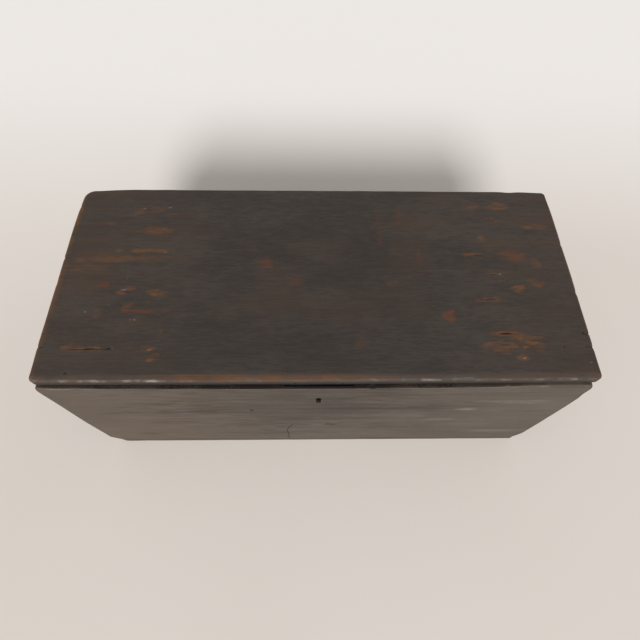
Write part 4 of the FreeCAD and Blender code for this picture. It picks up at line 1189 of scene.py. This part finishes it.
def front_masks(points, outer, low, high):
    """Masks of the front wall: bands, scuffs, dirt and painted shade in its hollows and on its ledge, and a
    rubbed upper edge with painted highlights.
    """
    x, y, z = points.T
    seed = SEEDS["front_board"]
    masks = wall_masks(points, outer, "front_board")
    spots = np.stack([x, z], 1)
    ragged = BAND_RAGGED * noise(spots, BAND_SIZE, seed + BAND_SEED, 3)
    soil_and_shade = BAND_SOIL * spots_mask(x, z, FRONT_BANDS, ragged)
    soil_and_shade += GROOVE_DIRT_AND_SHADE * smooth(groove_depth(spots, FRONT_GROOVES, seed + GROOVE_SEED), *GROOVE_DIRT_AND_SHADE_DEPTH)
    keyhole = np.hypot(x / KEYHOLE_HALF_WIDTH, (z - KEYHOLE_Z) / KEYHOLE_HALF_HEIGHT)
    # Painted shade inside the keyhole
    soil_and_shade += KEYHOLE_PAINTED_SHADE * smooth(keyhole, *KEYHOLE_EDGE) * smooth(y - low[1], *KEYHOLE_SHADE_DEPTH)
    soil_and_shade += CHIP_DIRT_AND_SHADE * smooth(chip_depth(points, low), *CHIP_DIRT_AND_SHADE_DEPTH)

    # The arris is rubbed pale and painted with highlights in places; the ledge behind it is painted dark with
    # dirt and shade, most of all by the lock
    below = high[2] - z
    broken = noise(points[:, :1], TOP_SIZE, seed + BREAK_SEED, 3)
    by_lock = smooth(np.abs(x - LOCK_WEAR_X), *LOCK_WEAR_REACH)
    left_end, right_end = worn_ends(x)
    edge = blend(ARRIS_EDGE, np.maximum(LEFT_WEAR_SHARE * left_end, right_end), by_lock, broken)
    rubbed_and_highlight = level(ARRIS_RUB_AND_HIGHLIGHT, broken, by_lock, smooth(np.abs(x - ARRIS_RUB_AND_HIGHLIGHT_X), *ARRIS_RUB_AND_HIGHLIGHT_REACH))
    arris = smooth(np.abs(below - edge - ARRIS_DROP), *ARRIS_BAND) * rubbed_and_highlight
    ledge = smooth(below, edge, edge - LEDGE_FADE)
    brown = LEDGE_BROWN * ledge + LEFT_FRONT_BROWN * smooth(x, *LEFT_FRONT_FROM)
    masks["brown"] = masks["brown"] + brown * outer
    masks["pale"] = (spots_mask(x, z, FRONT_SCUFFS, ragged) + arris) * outer
    masks["soil_and_shade"] = (soil_and_shade + blend(LEDGE_DIRT_AND_SHADE, by_lock) * ledge) * outer
    return masks


def painted_outside(points, depth, high):
    """How far each point of a long wall is on its painted outside or ends. depth is from its inside."""
    ends = smooth(np.abs(points[:, 0]) - high[0] + WALL_DEPTH, *END_PAINT_REACH)
    return np.maximum(smooth(depth, *PAINT_DEPTH), ends * smooth(depth, *END_PAINT_DEPTH))


def worn_ends(x):
    """How far each place along the front lies in the more worn stretches at its left and right ends."""
    return smooth(x, *LEFT_WORN_FROM), smooth(x, *RIGHT_WORN_FROM)


def chip_depth(points, low):
    """Depth of the chips in the front's upper edge."""
    depth = np.zeros(len(points))
    ragged = CHIP_RAGGED * noise(points[:, :1], CHIP_SIZE, SEEDS["front_board"] + CHIP_SEED)
    near = smooth(points[:, 1] - low[1], *CHIP_BAND) * smooth(points[:, 2], CHIP_FOOT, CHIP_FOOT + LEAST_STEP)
    for chip_x, half, deep in FRONT_CHIPS:
        reach = (points[:, 0] - chip_x) / half + ragged
        depth += deep * smooth(np.abs(reach), *CHIP_REACH) * near
    return depth


def worn_front():
    """The front wall: worn at its corners, cracked and chipped, and cut to its node inside."""
    low, high = corners_of("front_board")
    close_x = []
    close_z = []
    for path, half_width, _ in FRONT_GROOVES:
        xs, zs = np.array(path).T
        close_x.append((xs.mean(), np.ptp(xs) / 2 + 2 * half_width))
        close_z.append((zs.mean(), np.ptp(zs) / 2 + 2 * half_width))
    close_x += [(x, half) for x, half, _ in FRONT_CHIPS] + [(0, 2 * KEYHOLE_HALF_WIDTH)]
    close_z.append((KEYHOLE_Z, 1.5 * KEYHOLE_HALF_HEIGHT))
    points, faces = box_skin([
        places(low[0], high[0], WALL_STEP, close_x),
        places(low[1], high[1], THICKNESS_STEP),
        places(low[2], high[2], WALL_STEP, close_z),
    ])
    seed = SEEDS["front_board"]
    outer = smooth(points[:, 1], high[1], low[1])
    wear = noise(points, WEAR_SIZE, seed, 2)
    rise = smooth(points[:, 2], high[2] - TOP_BAND, high[2])
    left_end, right_end = worn_ends(points[:, 0])
    more = (LEFT_TOP_WEAR * left_end + RIGHT_TOP_WEAR * right_end) * outer
    radius = WALL_RADIUS + (WALL_TOP_RADIUS - WALL_RADIUS + more) * rise + FRONT_SPREAD * wear
    points = soften(points, low, high, radius)
    x, _, z = points.T
    sag = wall_sag(x, z, "front_board")
    groove = groove_depth(np.stack([x, z], 1), FRONT_GROOVES, seed + GROOVE_SEED)
    points[:, 1] += (sag + groove * smooth(points[:, 1] - low[1], *GROOVE_BAND)) * outer
    drop = TOP_DROP * np.clip(1 + noise(points[:, :1], TOP_SIZE, seed + TOP_SEED, 3), 0, 2)
    points[:, 2] -= (drop + chip_depth(points, low)) * rise
    edge = np.minimum(points[:, 2] - low[2], high[2] - points[:, 2])
    points[:, 1] += OVERSHOOT * (1 - outer) * smooth(edge, *OVERSHOOT_BAND)
    for side in WORN_CORNERS:
        wear_corner(points, low, high, side)
        bow_end(points, low, high, side)
    piece = new_piece("front_board_worn", points, faces)
    carve(
        piece, "front_board",
        (ROUND_MARGIN, FLAT_MARGIN, FLAT_MARGIN), (ROUND_MARGIN, NO_MARGIN, WALL_TOP_MARGIN))
    points = points_of(piece)
    masks = front_masks(points, painted_outside(points, high[1] - points[:, 1], high), low, high)
    return finish_piece(piece, "chest", "front_board", WALL_PAINT_LONG, masks)


def worn_back():
    """The back wall, which has less wear."""
    low, high = corners_of("back_board")
    points, faces = ruled_box(low, high, (WALL_STEP, THICKNESS_STEP, WALL_STEP))
    outer = smooth(points[:, 1], low[1], high[1])
    wear = noise(points, WEAR_SIZE, SEEDS["back_board"], 2)
    points = soften(points, low, high, WALL_RADIUS + BACK_SPREAD * wear)
    points[:, 1] -= wall_sag(points[:, 0], points[:, 2], "back_board") * outer
    edge = np.minimum(points[:, 2] - low[2], high[2] - points[:, 2])
    points[:, 1] -= OVERSHOOT * (1 - outer) * smooth(edge, *OVERSHOOT_BAND)
    points[:, 2] -= FLUSH * smooth(points[:, 2], high[2] - TOP_BAND, high[2])
    piece = new_piece("back_board_worn", points, faces)
    carve(
        piece, "back_board",
        (ROUND_MARGIN, NO_MARGIN, FLAT_MARGIN), (ROUND_MARGIN, FLAT_MARGIN, WALL_TOP_MARGIN))
    points = points_of(piece)
    masks = wall_masks(points, painted_outside(points, points[:, 1] - low[1], high), "back_board")
    return finish_piece(piece, "chest", "back_board", WALL_PAINT_LONG, masks)


def worn_end_wall(node, side):
    """An end wall. Its lower front corner is worn with the front wall's."""
    low, high = corners_of(node)
    seed = SEEDS[node]
    points, faces = ruled_box(low, high, (THICKNESS_STEP, WALL_STEP, WALL_STEP))
    outer = smooth(points[:, 0], high[0], low[0]) if side < 0 else smooth(points[:, 0], low[0], high[0])
    wear = noise(points, WEAR_SIZE, seed, 2)
    points = soften(points, low, high, WALL_RADIUS * END_RADIUS_SHARE + END_SPREAD * wear)
    hollow = WALL_HOLLOW * (1 + noise(points[:, 1:], SAG_SIZE, seed + SAG_SEED, 2)) / 2 + FLUSH
    points[:, 0] -= side * hollow * outer
    fade = smooth(points[:, 1], low[1] + WORN_CORNER_DEPTH, low[1]) * outer
    wear_corner(points, low, high, side, fade)
    bow_end(points, low, high, side, fade)
    piece = new_piece(node + "_worn", points, faces)
    masks = wall_masks(points, smooth(outer, *END_WALL_PAINT), node)
    return finish_piece(piece, "chest", node, WALL_PAINT_END, masks)


def worn_plank(node, front):
    """One of the bottom's two planks. The front one is worn with the front wall's left corner."""
    low, high = corners_of(node)
    seed = SEEDS[node]
    points, faces = ruled_box(low, high, (PLANK_STEP, PLANK_STEP, THICKNESS_STEP))
    side = -1 if front else 1
    corners = {(-1, side): PLANK_WORN_CORNER if front else PLANK_CORNER, (1, side): PLANK_CORNER}
    points = round_plan(points, low, high, (0, 1), corners)
    wear = noise(points, PLANK_WEAR_SIZE, seed, 2)
    points = soften(points, low, high, PLANK_RADIUS + PLANK_SPREAD * wear)
    rise = FLUSH * (PLANK_FACE_RISE + noise(points[:, :2], PLANK_FACE_SIZE, seed + FACE_SEED))
    points[:, 2] += np.where(points[:, 2] < low[2] + PLANK_FACE, rise, 0)
    edge = points[:, 1] - low[1] if front else high[1] - points[:, 1]
    if front:
        depth = (high[2] - points[:, 2]) / (high[2] - low[2])
        worn = PLANK_WORN_TOP + (PLANK_WORN_FOOT - PLANK_WORN_TOP) * depth
        fade = smooth(edge, WALL_DEPTH + WORN_CORNER_DEPTH, WALL_DEPTH)
        points[:, 0] += worn * fade * np.clip(1 - (points[:, 0] - low[0]) / WORN_CORNER_REACH, 0, 1)
    piece = new_piece(node + "_worn", points, faces)

    # The paint of the walls goes over the outer edges
    outer = smooth(np.minimum(edge, high[0] - np.abs(points[:, 0])), *PLANK_PAINT)
    masks = wall_masks(points, outer, node)
    masks["soil_and_shade"] = blend(PLANK_SOIL, smooth(points[:, 2], low[2] + PLANK_UNDER, low[2]), outer)
    return finish_piece(piece, "chest", node, WALL_PAINT_LONG, masks)


def worn_batten(node):
    """A batten under the lid, rounded along its lower edges."""
    low, high = corners_of(node)
    seed = SEEDS[node]
    points, faces = ruled_box(low, high, (THICKNESS_STEP * 2, WALL_STEP, THICKNESS_STEP))
    wear = noise(points, BATTEN_WEAR_SIZE, seed, 2)
    lower = smooth(points[:, 2], high[2] - BATTEN_TOP_BAND, low[2])
    radius = BATTEN_TOP_RADIUS + (BATTEN_UNDER_RADIUS + BATTEN_SPREAD * wear) * lower
    points = soften(points, low, high, radius)
    hollow = BATTEN_HOLLOW * (1 + noise(points[:, :2], BATTEN_HOLLOW_SIZE, seed + FACE_SEED, 2))
    points[:, 2] += hollow * lower
    piece = new_piece(node + "_worn", points, faces)
    return finish_piece(piece, "lid", node, BATTEN_WOOD, {"soil_and_shade": BATTEN_SOIL * (1 - lower)})


# Nails

def solids_of(node):
    """Lowest and highest corners of a node's separate solids, in a fixed order."""
    shape = bmesh.new()
    shape.from_mesh(nodes[node].data)
    bmesh.ops.remove_doubles(shape, verts=shape.verts, dist=WELD)
    seen = set()
    boxes = []
    for first in shape.verts:
        if first in seen:
            continue
        seen.add(first)
        group = [first]
        for vertex in group:
            for link in vertex.link_edges:
                other = link.other_vert(vertex)
                if other not in seen:
                    seen.add(other)
                    group.append(other)
        corners = np.array([vertex.co for vertex in group])
        boxes.append((corners.min(axis=0), corners.max(axis=0)))
    shape.free()
    return sorted(boxes, key=lambda box: tuple(np.round((box[0] + box[1]) / 2, 4)))


def hammered_nail(head, way, across, length, radius, crown, draw):
    """Points and faces of one nail, from the crown of its head to its point. crown says how rough the head
    is, next to an ordinary one."""
    turns = np.linspace(0, 2 * math.pi, NAIL_SIDES, endpoint=False)
    lean = crown * draw.uniform(-NAIL_LEAN, NAIL_LEAN, 2)
    shape = 1 + NAIL_ROUGHNESS * crown * draw.uniform(-1, 1, NAIL_SIDES)
    rings = [(share, depth * crown) for share, depth in NAIL_HEAD_RINGS] + list(NAIL_NECK_RINGS)
    rings += [(NAIL_SHANK_SHARE, length - NAIL_POINT), (NAIL_TIP_SHARE, length)]
    rows = []
    for share, depth in rings:
        out = radius * share * np.minimum(shape, 1.0)
        tilt = (lean[0] * np.cos(turns) + lean[1] * np.sin(turns)) * (depth < NAIL_RIM) * share
        row = out[:, None] * (np.cos(turns)[:, None] * across[0] + np.sin(turns)[:, None] * across[1])
        rows.append(head + row + (depth + tilt)[:, None] * way)
    count = len(rings)
    points = np.concatenate(rows)
    ring = np.arange(NAIL_SIDES)
    after = (ring + 1) % NAIL_SIDES
    faces = [tuple(ring[::-1])]
    for row in range(count - 1):
        here = row * NAIL_SIDES
        there = here + NAIL_SIDES
        faces += [(here + a, here + b, there + b, there + a) for a, b in zip(ring, after)]
    faces.append(tuple((count - 1) * NAIL_SIDES + ring))
    return points, faces


def hammered_nails(node, body, axis, sign, material, sink, crown=1.0):
    """All the nails of a node, driven along one axis, up it or down it by sign. sink gives how far the wood's
    face lies behind the node's heads."""
    draw = np.random.default_rng(SEEDS[node])
    way = np.zeros(3)
    way[axis] = sign
    across = np.eye(3)[[a for a in range(3) if a != axis]]
    if np.linalg.det(np.stack([across[0], across[1], way])) < 0:
        across = across[::-1]
    points = []
    faces = []
    for low, high in solids_of(node):
        head = (low + high) / 2
        head[axis] = low[axis] if sign > 0 else high[axis]
        radius = np.delete(high - low, axis).max() / 2
        length = (high - low)[axis]
        head = head + way * (sink(head) + NAIL_SINK * crown * draw.uniform(*NAIL_SINK_RANGE))
        nail_points, nail_faces = hammered_nail(head, way, across, length - NAIL_SHORTER, radius, crown, draw)
        base = sum(len(block) for block in points)
        points.append(nail_points)
        faces += [tuple(base + corner for corner in face) for face in nail_faces]
    piece = new_piece(node + "_hammered", np.concatenate(points), faces)
    return finish_piece(piece, body, node, material, {}, NAIL_SHARP_ANGLE)


def front_sink(head):
    """How far the front's face lies behind a nail's head."""
    return wall_sag(head[:1], head[2:], "front_board")[0]


def back_sink(head):
    """How far the back's face lies behind a nail's head."""
    return wall_sag(head[:1], head[2:], "back_board")[0]


def lid_sink(head):
    """How far the lid's top lies below a nail's head."""
    return lid_hollow(head[None, :2])[0]


def bottom_sink(_):
    """The bottom's nails all lie as deep."""
    return BOTTOM_NAIL_SINK


# Pieces that keep their shape and get their finish

KEPT = {
    "hinge_iron_forged": ("left_hinge_strap", "right_hinge_strap", "left_hinge_leaf", "right_hinge_leaf",
                          "left_hinge_pin", "right_hinge_pin"),
    "screw_iron_worn": ("hinge_strap_screws", "hinge_leaf_screws", "lock_screws", "link_plate_screws"),
    "lock_iron_dirt_and_shade": ("lock_plate", "lock_bolt", "bolt_guide_studs", "drill_pin", "link_plate"),
    "spring_steel_blued": ("bolt_spring",),
}


def dress_kept_nodes():
    """Gives the ironwork its materials."""
    for iron, names in KEPT.items():
        for name in names:
            for slot in nodes[name].material_slots:
                slot.material = IRON[iron]


# Stage, light and camera

def floor():
    """A pale floor, with painted light that makes it paler towards the back."""
    corners = FLOOR_HALF * np.array([(-1, -1, 0), (1, -1, 0), (1, 1, 0), (-1, 1, 0)])
    piece = new_piece("floor", corners, [(0, 1, 2, 3)])
    look = Look("floor_with_painted_light")
    tone = look.noise((FLOOR_CLOUDS,) * 3, 2, 0.5)
    front = look.mix(look.span(tone, 0.3, 0.7), FLOOR_DARK, FLOOR_LIGHT)
    depth = look.add("SeparateXYZ", {"Vector": look.place}).outputs["Y"]
    colour = look.mix(look.span(depth, *FLOOR_PAINTED_LIGHT_FROM), front, FLOOR_FAR_PAINTED_LIGHT)
    piece.data.materials.append(look.finish(Base_Color=colour, Roughness=FLOOR_ROUGHNESS))


def lights():
    """The sky and the sun."""
    world = bpy.data.worlds.new("studio")
    world.use_nodes = True
    sky = world.node_tree.nodes["Background"]
    sky.inputs["Color"].default_value = SKY_COLOUR
    sky.inputs["Strength"].default_value = SKY_STRENGTH
    bpy.context.scene.world = world
    data = bpy.data.lights.new("sun", "SUN")
    data.energy = SUN_STRENGTH
    data.angle = SUN_WIDTH
    lamp = bpy.data.objects.new("sun", data)
    lamp.rotation_euler = (math.pi / 2 - SUN_HEIGHT, 0, SUN_SIDE)
    bpy.context.scene.collection.objects.link(lamp)


def camera():
    """The photograph's camera, from its place, its three turns and its focal length in pixels."""
    forward = Vector((0, math.cos(CAMERA_PITCH), -math.sin(CAMERA_PITCH)))
    up = Vector((0, math.sin(CAMERA_PITCH), math.cos(CAMERA_PITCH)))
    right = Vector((1, 0, 0))
    turn = Matrix.Rotation(CAMERA_YAW, 3, "Z")
    forward, up, right = turn @ forward, turn @ up, turn @ right
    lean = Matrix.Rotation(-CAMERA_ROLL, 3, forward)
    up, right = lean @ up, lean @ right
    data = bpy.data.cameras.new("camera")
    data.sensor_width = SENSOR_WIDTH
    data.lens = FOCAL_PIXELS * SENSOR_WIDTH / IMAGE_WIDTH
    data.shift_x = -PIXEL_MIDDLE / IMAGE_WIDTH
    data.shift_y = PIXEL_MIDDLE / IMAGE_WIDTH
    data.clip_start = NEAR_CLIP
    eye = bpy.data.objects.new("camera", data)
    axes = Matrix((right, up, -forward)).transposed()
    eye.matrix_world = Matrix.Translation(CAMERA_PLACE) @ axes.to_4x4()
    bpy.context.scene.collection.objects.link(eye)
    bpy.context.scene.camera = eye


worn_lid()
worn_front()
worn_back()
worn_end_wall("left_end_board", side=-1)
worn_end_wall("right_end_board", side=1)
worn_plank("bottom_front_plank", front=True)
worn_plank("bottom_rear_plank", front=False)
worn_batten("left_lid_batten")
worn_batten("right_lid_batten")
hammered_nails("front_corner_nails", "chest", 1, 1, IRON["wall_nails_painted"], front_sink)
hammered_nails("back_corner_nails", "chest", 1, -1, IRON["wall_nails_painted"], back_sink)
hammered_nails("bottom_nails", "chest", 2, 1, IRON["nail_iron_rusty"], bottom_sink, BOTTOM_NAIL_CROWN)
hammered_nails("batten_nails", "lid", 2, -1, IRON["lid_nails_painted"], lid_sink, LID_NAIL_CROWN)
dress_kept_nodes()
floor()
lights()
camera()
bpy.context.scene.view_settings.view_transform = "Standard"
